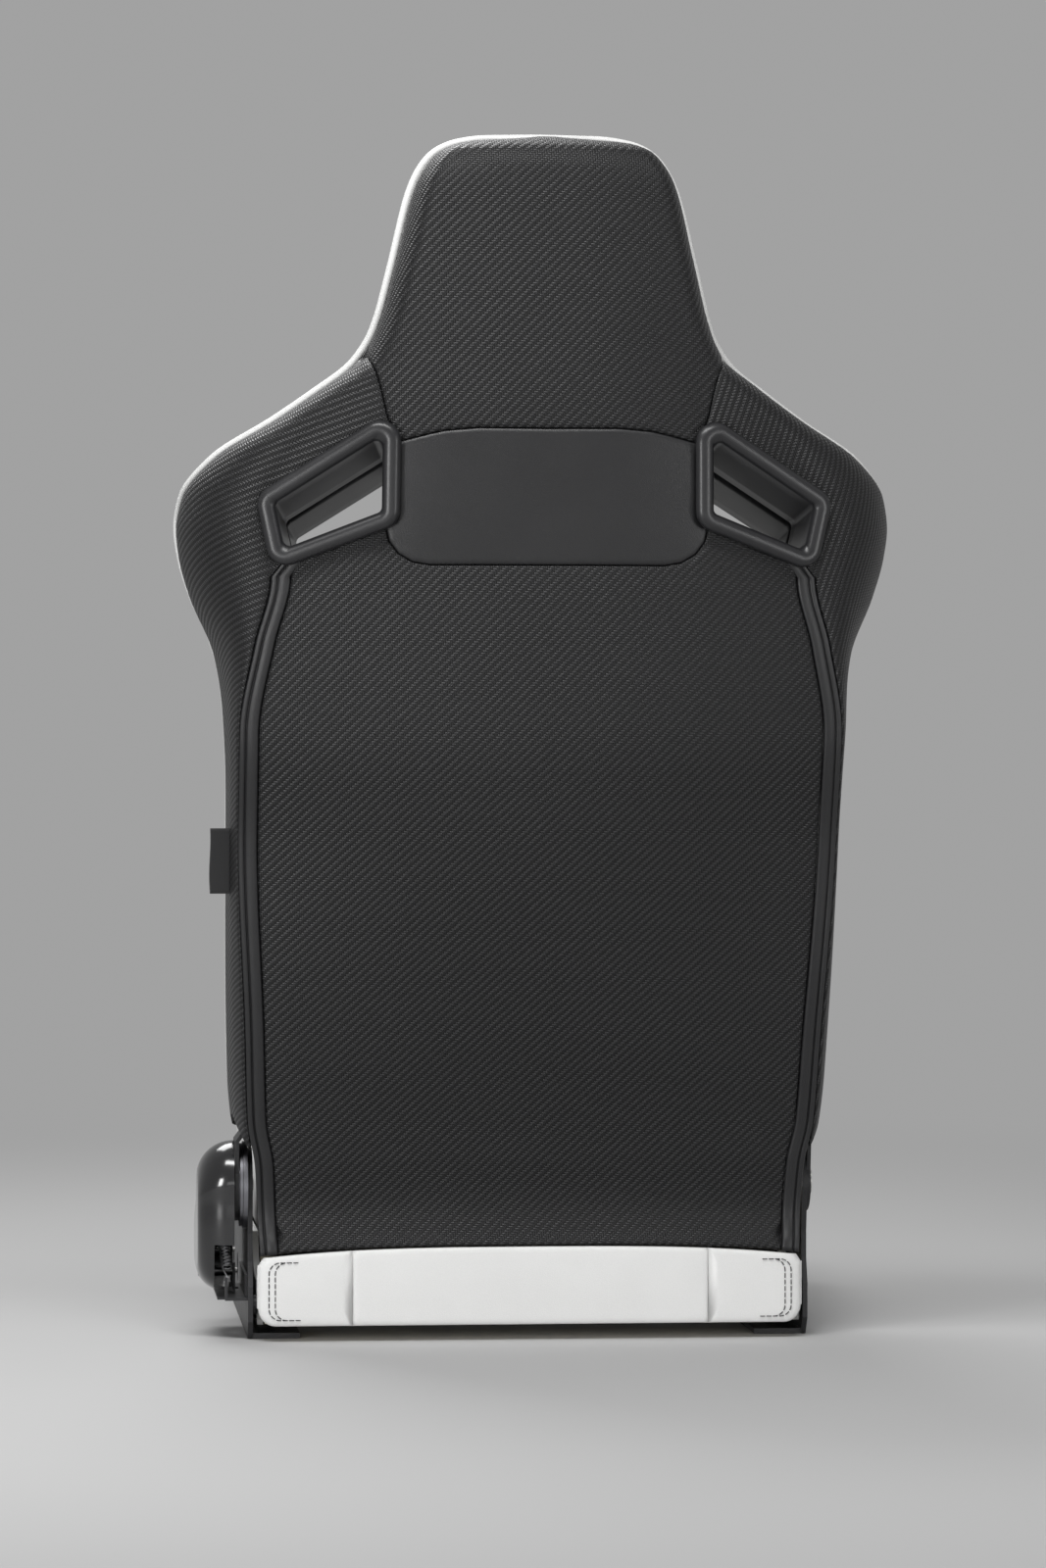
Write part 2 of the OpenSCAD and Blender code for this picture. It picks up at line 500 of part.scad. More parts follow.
// shoulder wing pad, round the harness opening
wing_pad_z = [insert_z1 + 0.8, 606, 628, 648, 668, 690, 710, 728, 744];
wing_crest = [[insert_z1, 0.42], [606, 0.7], [648, 1], [690, 0.92], [720, 0.6], [744, 0.3]];
module shoulder_pad() {
    color("#f4f4f4") difference() {
        loft([for (z = wing_pad_z)
            let (xi = post_x + edge_gap, xo = at(outer_x, z) - pipe_r - 1, yp = at(pipe_y, z) - 2 * pipe_r - 2,
                 yf = at(front_y, z), yc = min(yf, yp) - wing_d * at(wing_crest, z) * 0.8,
                 xc = xo - 0.17 * (xo - xi), yb = pad_back_y(z), xv = mix(xi, xo, 0.42), xw = mix(xi, xo, 0.6))
            [[xo, yp, z], [xo, mix(yp, yc, 0.5), z], [xo - 6, mix(yp, yc, 0.85), z],
             [xc, yc, z], [mix(xc, xw, 0.4), mix(yc, yf, 0.18), z], [mix(xc, xw, 0.75), mix(yc, yf, 0.62), z],
             [xw, mix(yc, yf, 0.95), z], [xv, yf, z], [xi, yf + 2, z], [xi, yb, z],
             [mix(xi, xo, 0.62), yb - 4, z], [mix(xi, xo, 0.88), mix(yb, yp, 0.5), z]]]);
        sleeve_plug(seat_gap);
        // pocket for the front bezel
        loft([opening_ring(bezel_rim + seat_gap, 1), opening_ring(bezel_rim + seat_gap, 1.6)]);
    }
}
module yoke_front_pad() {
    zs = [insert_z1 + 0.8, 600, 640, 690, 732, 744];
    color("#ededed") loft([for (z = zs)
        let (w = post_x - edge_gap, yf = at(front_y, z) + (z < 590 || z == 744 ? 6 : 0))
        concat([for (k = [-3:3]) let (s = k / 3) [s * w, yf + (k == -3 || k == 3 ? 6 : 3 * s * s) - 2, z]],
            [[w, pad_back_y(z), z], [-w, pad_back_y(z), z]])]);
}
head_pad_z = [744.8, 758, 772, 790, 812, 840, 870, 900, seat_h - 34, seat_h - 20, seat_h - 12, seat_h - 7];
module head_pad() {
    color("#f4f4f4") loft([for (z = head_pad_z)
        let (xo = at(outer_x, z) - pipe_r - 1, yp = at(pipe_y, z) - 2 * pipe_r - 2,
             end = z > seat_h - 36 ? (z - seat_h + 36) / 29 : 0, yf = at(front_y, z) + 22 * end * end,
             yb = min(post_y(z) - head_tube_d / 2 - 2, yp + 26 - 24 * end))
        concat([for (k = [0:6]) let (a = 90 * k / 6) [xo * cos(a)^0.7, mix(yp, yf, sin(a)^0.6), z]],
            [for (k = [5:-1:0]) let (a = 90 * k / 6) [-xo * cos(a)^0.7, mix(yp, yf, sin(a)^0.6), z]],
            [[-xo * 0.8, yb, z], [0, yb, z], [xo * 0.8, yb, z]])]);
}

// ---- frame of the back -----------------------------------------------------
// round tube from a to b, hollow when wall > 0
module tube(a, b, d, wall = 0) {
    v = b - a;
    translate(a) rotate([0, acos(v[2] / norm(v)), atan2(v[1], v[0])]) difference() {
        cylinder(d = d, h = norm(v));
        if (wall > 0) translate([0, 0, -1]) cylinder(d = d - 2 * wall, h = norm(v) + 2);
    }
}
// the arms run outboard of the base plates, then step in above them to the side tubes
arm_in = plate_x - 3;
slave_arm_x = plate_x + 0.8;
arm_t = 3;
side_x = arm_in - seat_gap - side_tube_d / 2;
side_z0 = 166;
arm_bolt_z = [220, 300];
arm_bolt_d = 8;
function side_pt(z) = [side_x, tube_y(z), z];
// round cutter that copes a tube's end to the tube it is welded to
module cope(a, b, d) { tube(a, b, d + 2 * seat_gap); }
module side_tube() {
    color("#2a2a2c") difference() {
        tube(side_pt(side_z0), side_pt(post_z0), side_tube_d, tube_wall);
        cope([0, tube_y(post_z0), post_z0], [side_x + 40, tube_y(post_z0), post_z0], side_tube_d);
        for (z = arm_bolt_z) translate(side_pt(z)) rotate([0, 90, 0]) cylinder(d = arm_bolt_d + 0.6, h = side_tube_d);
    }
}
module shoulder_tube() {
    color("#2a2a2c") tube([-side_x - 10, tube_y(post_z0), post_z0], [side_x + 10, tube_y(post_z0), post_z0],
        side_tube_d, tube_wall);
}
lower_tube_z = 190;
module lower_back_tube() {
    y = tube_y(lower_tube_z);
    color("#2a2a2c") difference() {
        tube([-side_x, y, lower_tube_z], [side_x, y, lower_tube_z], head_tube_d, tube_wall);
        for (s = [1, -1]) both_sides(s) cope(side_pt(lower_tube_z - 40), side_pt(lower_tube_z + 40), side_tube_d);
    }
}
head_top_z = seat_h - 62;
module head_post() {
    color("#2a2a2c") difference() {
        tube([post_x, post_y(post_z0), post_z0], [post_x, post_y(head_top_z), head_top_z], head_tube_d, tube_wall);
        cope([0, tube_y(post_z0), post_z0], [2 * post_x, tube_y(post_z0), post_z0], side_tube_d);
        cope([0, post_y(head_top_z), head_top_z], [2 * post_x, post_y(head_top_z), head_top_z], head_tube_d);
    }
}
module head_top_tube() {
    color("#2a2a2c") tube([-post_x - 8, post_y(head_top_z), head_top_z], [post_x + 8, post_y(head_top_z), head_top_z],
        head_tube_d, tube_wall);
}
wire_d = 8;
module wing_wire() {
    z0 = post_z0 + side_tube_d / 2 + seat_gap + 0.9;
    z1 = seat_h - 160;
    x1 = post_x + head_tube_d / 2 + seat_gap;
    path = [[side_x, tube_y(post_z0), z0], [side_x + 3, tube_y(post_z0) + 3, z0 + 14],
        [wing_x - 36, post_y(640) - 6, 640], [wing_x - 44, post_y(684), 684], [wing_x - 108, post_y(728), 728],
        [x1 + 14, post_y(z1), z1], [x1, post_y(z1), z1]];
    color("#2a2a2c") bar(rounded(path, 10, 3), wire_d / 2, 8, [0, 1, 0]);
}
spring_heights = [250, 340, 430];
spring_waves = 12;
module back_springs() {
    color("#9a9aa0") for (z = spring_heights) {
        x = side_x - side_tube_d / 2 - seat_gap - 1;
        pitch = 2 * (x - 14) / spring_waves;
        path = concat([[-x, 0]], [for (i = [0:spring_waves]) [-x + 14 + i * pitch, i % 2 == 0 ? 16 : -16]],
            [[x, 0]]);
        bar(rounded([for (p = path) [p[0], tube_y(z + p[1]) + 2, z + p[1]]], 6, 2), spring_wire_d / 2, 5, [0, 1, 0]);
    }
}

// ---- recliner, arms and lever ----------------------------------------------
shaft_d = 9;
disc_half_t = 3.5;
disc_gap = 0.3;
base_half_x = plate_x;
back_half_x = base_half_x + disc_half_t + disc_gap;
left_arm_x = back_half_x + 3.2;
module on_pivot(x) { translate([x, pivot_y, pivot_z]) rotate([0, 90, 0]) children(); }
// extrude a side view outline, given as [y, z], from x0 to x1
module side_plate(x0, x1) {
    translate([x0, 0, 0]) rotate([90, 0, 90]) linear_extrude(x1 - x0) children();
}
module arm_outline(r) {
    top = 330;
    w = 17;
    translate([pivot_y, pivot_z]) circle(r);
    translate([tube_y(top), top]) circle(w);
    polygon([[pivot_y - r + 2, pivot_z + 10], [pivot_y + r - 2, pivot_z + 10],
        [tube_y(200) + w, 200], [tube_y(top) + w, top], [tube_y(top) - w, top], [tube_y(200) - w, 200]]);
}
module arm_holes(bore) {
    on_pivot(0) cylinder(d = bore, h = 400);
    for (z = arm_bolt_z) translate(side_pt(z)) rotate([0, 90, 0]) cylinder(d = arm_bolt_d + 0.6, h = 60);
}
// pressed arm whose inner face steps from x = a at the pivot in to the side tube
arm_step_z = [158, 172];
module arm(a, r, bore) {
    b = arm_in;
    color("#1a1a1c") difference() {
        intersection() {
            side_plate(arm_in - 2, cover_x) arm_outline(r);
            behind([[a, 60], [a, arm_step_z[0]], [b, arm_step_z[1]], [b, 400], [b + arm_t, 400],
                [b + arm_t, arm_step_z[1] + 1], [a + arm_t, arm_step_z[0] + 1], [a + arm_t, 60]]);
        }
        arm_holes(bore);
    }
}
module recliner_arm() { arm(left_arm_x, disc_d / 2 - 6, shaft_d + 3); }
module slave_arm() { mirror([1, 0, 0]) arm(slave_arm_x, 24, pin_d + 0.1); }
module arm_bolts() {
    color("#8c8c90") for (s = [1, -1], z = arm_bolt_z) both_sides(s) translate([0, tube_y(z), z]) rotate([0, 90, 0]) {
        translate([0, 0, side_x + 2]) cylinder(d = arm_bolt_d, h = arm_in + arm_t - side_x - 2 + 0.1);
        translate([0, 0, arm_in + arm_t]) cylinder(d = 13, h = 3.2, $fn = 6);
    }
}
module recliner_base_half() {
    weld_r = disc_d / 2 - 6;
    color("#3a3a3e") difference() {
        on_pivot(base_half_x) cylinder(d = disc_d, h = disc_half_t);
        on_pivot(base_half_x - 1) cylinder(d = shaft_d + 1, h = disc_half_t + 2);
        for (i = [0:5]) on_pivot(base_half_x + disc_half_t - 0.8)
            rotate([0, 0, 60 * i]) translate([weld_r, 0, 0]) cylinder(d = 6, h = 2);
    }
}
module recliner_back_half() {
    hub_r = 12;
    color("#44444a") difference() {
        union() {
            on_pivot(back_half_x) cylinder(d = disc_d - 3, h = 2.2);
            on_pivot(back_half_x) cylinder(r = disc_d / 2 - 10, h = left_arm_x - back_half_x);
        }
        on_pivot(back_half_x - 1) cylinder(d = shaft_d + 1, h = 8);
    }
}
module slave_hinge_pin() {
    color("#8c8c90") mirror([1, 0, 0]) {
        on_pivot(inner_face) cylinder(d = pin_d, h = slave_arm_x + arm_t + run_gap - inner_face);
        on_pivot(slave_arm_x + arm_t + run_gap) cylinder(d = pin_d + 9, h = 2.6);
    }
}
// flat strip wound round the shaft, hooked on the arm at its outer end
clock_x0 = left_arm_x + arm_t + 0.6;
clock_w = 5;
module recliner_clock_spring() {
    turns = 3.25;
    r0 = shaft_d / 2 + 2.5;
    pitch = 3.4;
    strip = 1.2;
    steps = 52;
    color("#55555a") loft([for (i = [0:steps])
        let (a = 360 * turns * i / steps, r = r0 + pitch * a / 360)
        [for (q = [[r, 0], [r, clock_w], [r + strip, clock_w], [r + strip, 0]])
            [clock_x0 + q[1], pivot_y + q[0] * cos(a), pivot_z + q[0] * sin(a)]]]);
}
lever_x = 247;
lever_t = 4;
tail = [-12, -40];
module release_shaft() {
    color("#9a9aa0") {
        on_pivot(inner_face - 1.5) cylinder(d = shaft_d, h = lever_x - inner_face + 1.5);
        on_pivot(lever_x - 3) cylinder(d = shaft_d + 4, h = 2.7);
    }
}
module release_lever() {
    color("#2a2a2c") difference() {
        side_plate(lever_x, lever_x + lever_t) {
            hull() {
                translate([pivot_y, pivot_z]) circle(12);
                translate([pivot_y - lever_l + 12, pivot_z + 4]) circle(7);
            }
            hull() {
                translate([pivot_y, pivot_z]) circle(9);
                translate([pivot_y + tail[0], pivot_z + tail[1]]) circle(5);
            }
        }
        translate([0, pivot_y + tail[0], pivot_z + tail[1]]) rotate([0, 90, 0]) cylinder(d = 3, h = 300);
        on_pivot(lever_x - 1) cylinder(d = 6, h = lever_t + 2);
    }
}
// moulded handle, open on its inner side where the lever blade lies in it
module lever_grip() {
    l0 = lever_l * 0.42;
    function grip_ring(u, g) = let (y = pivot_y - mix(l0, lever_l, u), z = pivot_z + 4 * u,
        h = mix(13, 11, u) - 8 * max(0, u - 0.85) / 0.15 * 0.6, w = mix(7.5, 6.5, u))
        [for (k = [0:11]) let (a = 30 * k)
            [lever_x + lever_t / 2 + (w - g) * cos(a), y, z + (h - g) * sin(a)]];
    color("#141414") difference() {
        loft([for (u = [0, 0.12, 0.4, 0.7, 0.9, 1]) grip_ring(u, u == 0 || u == 1 ? 2 : 0)]);
        translate([lever_x - seat_gap, pivot_y - lever_l + 5 - seat_gap, pivot_z - 12.5])
            cube([lever_t + 2 * seat_gap, lever_l, 25]);
    }
}
// extension spring from the lever's tail to the bracket
bracket_z = 31;
bracket_t = 2;
spring_a = [lever_x - 2, pivot_y + tail[0], pivot_z + tail[1]];
spring_b = [lever_x - 6, pivot_y + 24, bracket_z + 15];
module lever_return_spring() {
    turns = 9;
    coil_r = 4.2;
    wire = 1.4;
    per_turn = 8;
    axis = spring_b - spring_a;
    u = unit(axis);
    p = unit(cross(u, [0, 0, 1]));
    q = cross(u, p);
    n = turns * per_turn;
    path = concat([spring_a + [lever_t + 3, 0, 0], spring_a], [for (i = [0:n]) let (a = 360 * i / per_turn, t = mix(0.12, 0.72, i / n))
        spring_a + axis * t + coil_r * (cos(a) * p + sin(a) * q)],
        [spring_b + [-1, 0, 0], spring_b + [4, 0, 0]]);
    echo(coil_gap = norm(axis) * 0.6 / turns - wire);
    color("#b0b0b4") bar(path, wire / 2, 6, u);
}
// closed housing: outer and inner rings, open at the first pair
module cup(outside, inside) {
    outer = facing(outside, forward(outside));
    inner = facing(inside, forward(outside));
    n = len(outer[0]);
    m = len(outer);
    k = m * n;
    pts = concat([for (r = outer) each r], [for (r = inner) each r],
        [total(outer[m - 1]) / n, total(inner[m - 1]) / n]);
    polyhedron(pts, [
        for (j = [0:m - 2], i = [0:n - 1])
            let (a = j * n + i, b = j * n + (i + 1) % n, c = a + n, d = b + n)
            each [[a, c, b], [b, c, d], [k + a, k + b, k + c], [k + b, k + d, k + c]],
        for (i = [0:n - 1])
            let (a = i, b = (i + 1) % n, c = (m - 1) * n + i, d = (m - 1) * n + (i + 1) % n)
            each [[a, b, k + a], [b, k + b, k + a], [c, 2 * k, d], [k + c, k + d, 2 * k + 1]]]);
}
cover_x0 = left_arm_x + arm_t + 0.8;
cover_r = 36;
cover_mid = [198, 86];
cover_outline = concat(
    [for (k = [0:8]) [pivot_y, pivot_z] + cover_r * [cos(-15 + 24.4 * k), sin(-15 + 24.4 * k)]],
    [[152, 108], [122, 98], [104, 84], [99, 66], [106, 48], [126, 39], [160, 36], [200, 35], [228, 36],
     [244, 44], [251, 62], [253, 88]]);
function cover_ring(x, f) = [for (p = cover_outline) let (q = cover_mid + (p - cover_mid) * f) [x, q[0], q[1]]];
cover_steps = [0, 18, 36, 54, 70, 83];
boss_at = [[186, 50], [134, 62]];
bracket_x = cover_x0 - 0.4;
module recliner_cover() {
    depth = cover_x - cover_x0;
    w = cover_wall;
    color("#131314") difference() {
        union() {
            cup([for (a = cover_steps) cover_ring(cover_x0 + depth * sin(a), 1 - 0.40 * (1 - cos(a)))],
                [for (a = cover_steps) cover_ring(cover_x0 + (depth - w) * sin(a), (1 - w / 52) - 0.40 * (1 - cos(a)))]);
            for (p = boss_at) translate([bracket_x, p[0], p[1]]) rotate([0, 90, 0])
                cylinder(d = 9, h = cover_x - 2 - bracket_x);
        }
        // open lower rear corner
        translate([cover_x0 - 1, 198, 20]) cube([17, 70, 56]);
        // slot for the lever
        translate([lever_x - 5, 130, pivot_z - 14]) cube([lever_t + 10, 75, 44]);
        for (p = boss_at) translate([bracket_x - 1, p[0], p[1]]) rotate([0, 90, 0]) cylinder(d = 4.4, h = 40);
        for (p = boss_at) translate([cover_x - 5, p[0], p[1]]) rotate([0, 90, 0]) cylinder(d = 8.4, h = 10);
    }
}
module cover_screws() {
    head_h = 2.4;
    color("#77777a") for (p = boss_at) translate([0, p[0], p[1]]) rotate([0, 90, 0]) {
        translate([0, 0, bracket_x - 4]) cylinder(d = 4, h = cover_x - 5 - bracket_x + 4);
        translate([0, 0, cover_x - 5]) cylinder(d = 7.5, h = head_h);
    }
}
// shelf plate welded to the base plate, with two ears for the cover and a hook for the spring
module cover_bracket() {
    y0 = 118;
    y1 = 236;
    ear_x = bracket_x - seat_gap - bracket_t;
    hook_w = 8;
    hook_x = spring_b[0] + 1.2;
    color("#2a2a2c") difference() {
        union() {
            translate([plate_x, y0, bracket_z]) cube([24, y1 - y0, bracket_t]);
            translate([plate_x, y0, bracket_z]) cube([bracket_t, y1 - y0, 20]);
            for (p = boss_at) translate([ear_x, p[0] - 8, bracket_z]) cube([bracket_t, 16, p[1] - bracket_z + 7]);
            translate([plate_x, y1 - 1, bracket_z]) cube([hook_x + bracket_t - plate_x, hook_w + 3, bracket_t]);
            translate([hook_x, spring_b[1] - hook_w / 2, bracket_z]) cube([bracket_t, hook_w, 18.2]);
        }
        for (p = boss_at) translate([ear_x - 1, p[0], p[1]]) rotate([0, 90, 0]) cylinder(d = 4.4, h = 10);
        translate([plate_x + bracket_t + 2, 148, bracket_z - 1]) cube([5, 26, 4]);
        translate([hook_x - 1, spring_b[1], spring_b[2]]) rotate([0, 90, 0]) cylinder(d = 3.4, h = 4);
    }
}

// ---- base ------------------------------------------------------------------
plate_front = -205;
flange_w = 42;
front_tube = [-188, 64];
rear_tube = [148, 64];
low_tube = [238, 27];
spring_z = 64 + cross_tube_d / 2 + seat_gap + spring_wire_d / 2;
pad_z = spring_z + spring_wire_d / 2 + 0.5;
module base_plate(bore) {
    upright_r = 30;
    color("#1c1c1e") difference() {
        union() {
            side_plate(inner_face, plate_x) {
                translate([pivot_y, pivot_z]) circle(upright_r);
                polygon([[plate_front, 0], [plate_front, 70], [plate_front + 12, 80], [70, 80], [150, 88],
                    [pivot_y - upright_r, pivot_z], [pivot_y + upright_r, pivot_z], [pivot_y + 24, 84],
                    [pivot_y + 24, 62], [pivot_y + 31, 42], [pivot_y + 31, 14], [pivot_y + 20, 0]]);
            }
            translate([plate_x - flange_w, plate_front, 0]) cube([flange_w, pivot_y + 20 - plate_front, plate_t]);
        }
        for (y = [-1, 1]) translate([bolt_dx / 2, y * bolt_dy / 2, -1]) cylinder(d = bolt_d, h = plate_t + 2);
        on_pivot(inner_face - 1) cylinder(d = bore, h = plate_t + 2);
        // lightening slots
        for (y = [-130, -50, 30]) translate([0, y, 38]) rotate([0, 90, 0]) {
            translate([0, 0, inner_face - 1]) cylinder(d = 26, h = plate_t + 2);
        }
    }
}
module base_plate_left() { base_plate(shaft_d + 0.1); }
module base_plate_right() { mirror([1, 0, 0]) base_plate(pin_d + 0.2); }
module cross_tube(yz, d) {
    x = inner_face;
    color("#2a2a2c") tube([-x, yz[0], yz[1]], [x, yz[0], yz[1]], d, tube_wall);
}
module front_cross_tube() { cross_tube(front_tube, cross_tube_d); }
module rear_cross_tube() { cross_tube(rear_tube, cross_tube_d); }
module lower_rear_tube() { cross_tube(low_tube, cross_tube_d - 6); }
module weld_nuts() {
    color("#8c8c90") for (x = [-1, 1], y = [-1, 1]) translate([x * bolt_dx / 2, y * bolt_dy / 2, plate_t])
        difference() {
            cylinder(d = 15, h = 6.5, $fn = 6);
            translate([0, 0, -1]) cylinder(d = bolt_d - 0.5, h = 9);
        }
}
seat_spring_x = [-120, -40, 40, 120];
seat_waves = 14;
module seat_springs() {
    y0 = front_tube[0];
    pitch = (rear_tube[0] - y0) / seat_waves;
    color("#9a9aa0") for (x = seat_spring_x)
        bar(rounded(concat([[x - 12, y0 - 6, spring_z]],
            [for (i = [0:seat_waves]) [x + (i % 2 == 0 ? -20 : 20), y0 + i * pitch, spring_z]],
            [[x - 12, rear_tube[0] + 6, spring_z]]), 6, 1), spring_wire_d / 2, 5, [0, 0, 1]);
}

// ---- cushion ---------------------------------------------------------------
cushion_x = cushion_w / 2;
pad_x = cushion_x - 2;
pad_rear = pivot_y - 54;
insert_front = -178;
trough_r = 76;
module trough() { on_pivot(-300) cylinder(r = trough_r, h = 600); }
function seat_z(y) = mix(seat_z_front, seat_z_rear, (y - insert_front) / (pad_rear - insert_front));
module rear_filler_foam() {
    x = cushion_x - skin_t - 1;
    color("#d8d4c0") difference() {
        translate([-x, pad_rear + 10, skirt_z + 2]) cube([2 * x, band_rear - skin_t - seat_gap - pad_rear - 10, 50]);
        trough();
        translate([-300, low_tube[0], low_tube[1]]) rotate([0, 90, 0])
            cylinder(d = cross_tube_d - 6 + 2 * seat_gap, h = 600);
    }
}
module cushion_insert() {
    rows = cushion_channels * 4;
    w = insert_x - edge_gap;
    color("#ededed") loft([for (j = [0:rows])
        let (u = j / rows, y = mix(insert_front, pad_rear, u), end = j == 0 || j == rows,
             zt = seat_z(y) - channel(u, cushion_channels) - (end ? 5 : 0))
        concat([[w, y, pad_z], [0, y, pad_z], [-w, y, pad_z]],
            [for (k = [-4:4]) let (s = k / 4) [s * w, y, zt - (k == -4 || k == 4 ? 8 : 4 * s * s)]])]);
}
bolster_top = [[-286, -60], [-276, -30], [-255, -10], [-215, 0], [-60, 0], [0, -5], [40, -18], [80, -27],
    [125, -28], [pad_rear, -32]];
bolster_y = [-286, -276, -255, -215, -150, -60, 0, 40, 80, 125, pad_rear];
module cushion_bolster() {
    color("#f4f4f4") loft([for (y = bolster_y)
        let (xi = insert_x + edge_gap, xo = pad_x - (y < -260 ? 6 : 0), zi = seat_z(max(y, insert_front)),
             zc = zi + cushion_bolster_h + at(bolster_top, y), zs = min(zi - 6, zc - 6))
        [for (p = [[xi, pad_z], [xo - 2, pad_z], [xo, mix(pad_z, zc, 0.35)], [xo - 1, mix(pad_z, zc, 0.75)],
            [mix(xi, xo, 0.86), mix(pad_z, zc, 0.95)], [mix(xi, xo, 0.66), zc], [mix(xi, xo, 0.42), mix(zs, zc, 0.84)],
            [mix(xi, xo, 0.18), mix(zs, zc, 0.4)], [xi, zs]]) [p[0], y, p[1]]]]);
}
module thigh_roll() {
    w = insert_x - edge_gap;
    yf = -cushion_front + 4;
    yr = insert_front - edge_gap;
    zt = seat_z_front;
    color("#f4f4f4") loft([for (s = [-1, -0.94, -0.6, 0, 0.6, 0.94, 1])
        let (d = abs(s) > 0.95 ? 6 : 0)
        [for (p = [[yr, pad_z], [yr, zt - 7 - d], [yr - 10, zt + 1 - d], [mix(yr, yf, 0.4), zt + 3 - d],
            [mix(yr, yf, 0.7), zt - 6 - d], [yf + 9, zt - 26 - d], [yf + d, zt - 52], [yf + 2 + d, pad_z + 8],
            [yf + 10 + d, pad_z]]) [s * w, p[0], p[1]]]]);
}
// rear panel of the cushion, its top edge on the arc that the hem of the back sweeps
band_seam_x = 143;
module rear_band() {
    corner = 14;
    reach = [for (k = [0:24]) -cushion_x + 2 * cushion_x * k / 24];
    color("#f4f4f4") loft([for (x = reach)
        let (r = norm([hem_y - pivot_y, pivot_z - hem_at(x)]) + 1, e = max(0, abs(x) - cushion_x + corner),
             zb = skirt_z + corner - sqrt(corner^2 - e^2 + 0.01), yr = band_rear - (abs(x) > cushion_x - 1 ? 3 : 0),
             zr = pivot_z - sqrt(r^2 - (yr - pivot_y)^2), yf = band_rear - skin_t,
             zf = pivot_z - sqrt(r^2 - (yf - pivot_y)^2))
        [[x, yf, zb], [x, yf, zf], [x, yr - 0.5, zr], [x, yr, mix(zb, zr, 0.7)], [x, yr, mix(zb, zr, 0.3)],
         [x, yr - 1.5, zb]]]);
}
module side_skirt() {
    color("#f4f4f4") difference() {
        side_plate(cushion_x - skin_t, cushion_x) polygon([[-cushion_front + 14 + seat_gap, skirt_z],
            [band_rear - skin_t - seat_gap, skirt_z], [band_rear - skin_t - seat_gap, pad_z - seat_gap],
            [-cushion_front + 14 + seat_gap, pad_z - seat_gap]]);
        trough();
        for (t = [front_tube, rear_tube, low_tube]) translate([0, t[0], t[1]]) rotate([0, 90, 0])
            cylinder(d = cross_tube_d + 1, h = 300);
    }
}
module front_skirt() {
    r = 13;
    // outline of the strip, turned round the corners to the side skirts
    function bend(r1) = [for (k = [0:6]) [cushion_x - r, r + 1 - cushion_front] + r1 * [cos(15 * k), -sin(15 * k)]];
    color("#f4f4f4") translate([0, 0, skirt_z]) linear_extrude(pad_z - skirt_z - seat_gap)
        difference() {
            polygon(concat(bend(r), reversed([for (p = bend(r)) [-p[0], p[1]]])));
            polygon(concat([for (p = bend(r - skin_t)) p + [0, p[1] == bend(r)[0][1] ? 1 : 0]],
                reversed([for (p = bend(r - skin_t)) [-p[0], p[1] + (p[1] == bend(r)[0][1] ? 1 : 0)]])));
        }
}

base_plate_left();
base_plate_right();
front_cross_tube();
rear_cross_tube();
lower_rear_tube();
seat_springs();
weld_nuts();
rear_filler_foam();
cushion_insert();
cushion_bolster();  // cushion_bolster_left
both_sides(-1) cushion_bolster();  // cushion_bolster_right
thigh_roll();
rear_band();
side_skirt();  // side_skirt_left
both_sides(-1) side_skirt();  // side_skirt_right
front_skirt();
recliner_base_half();
recliner_back_half();
slave_hinge_pin();
recliner_cover();
cover_bracket();
cover_screws();
recliner_arm();
slave_arm();
arm_bolts();
side_tube();  // side_tube_left
both_sides(-1) side_tube();  // side_tube_right
shoulder_tube();
lower_back_tube();
head_post();  // head_post_left
both_sides(-1) head_post();  // head_post_right
head_top_tube();
wing_wire();  // wing_wire_left
both_sides(-1) wing_wire();  // wing_wire_right
back_springs();
back_insert();
torso_bolster();  // torso_bolster_left
both_sides(-1) torso_bolster();  // torso_bolster_right
shoulder_pad();  // shoulder_pad_left
both_sides(-1) shoulder_pad();  // shoulder_pad_right
yoke_front_pad();
head_pad();
head_panel();
yoke_panel();
lower_panel();
wing_panel();  // wing_panel_left
both_sides(-1) wing_panel();  // wing_panel_right
zip_strips();
zip_pulls();
edge_piping();
bezel_rear();  // bezel_rear_left
both_sides(-1) bezel_rear();  // bezel_rear_right
bezel_front();  // bezel_front_left
both_sides(-1) bezel_front();  // bezel_front_right
side_tab();
recliner_clock_spring();
release_shaft();
release_lever();
lever_grip();
lever_return_spring();
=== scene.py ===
# %% [markdown]
# # A reclining sport seat
# The metal structure of this seat comes from a imported CAD model, and everything here is built
# round it in metres. Loading the model first means that every later piece goes exactly where the
# structure says.

# %% Load the structure
import math

import bpy
import numpy as np
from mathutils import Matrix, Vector, geometry
from mathutils.bvhtree import BVHTree


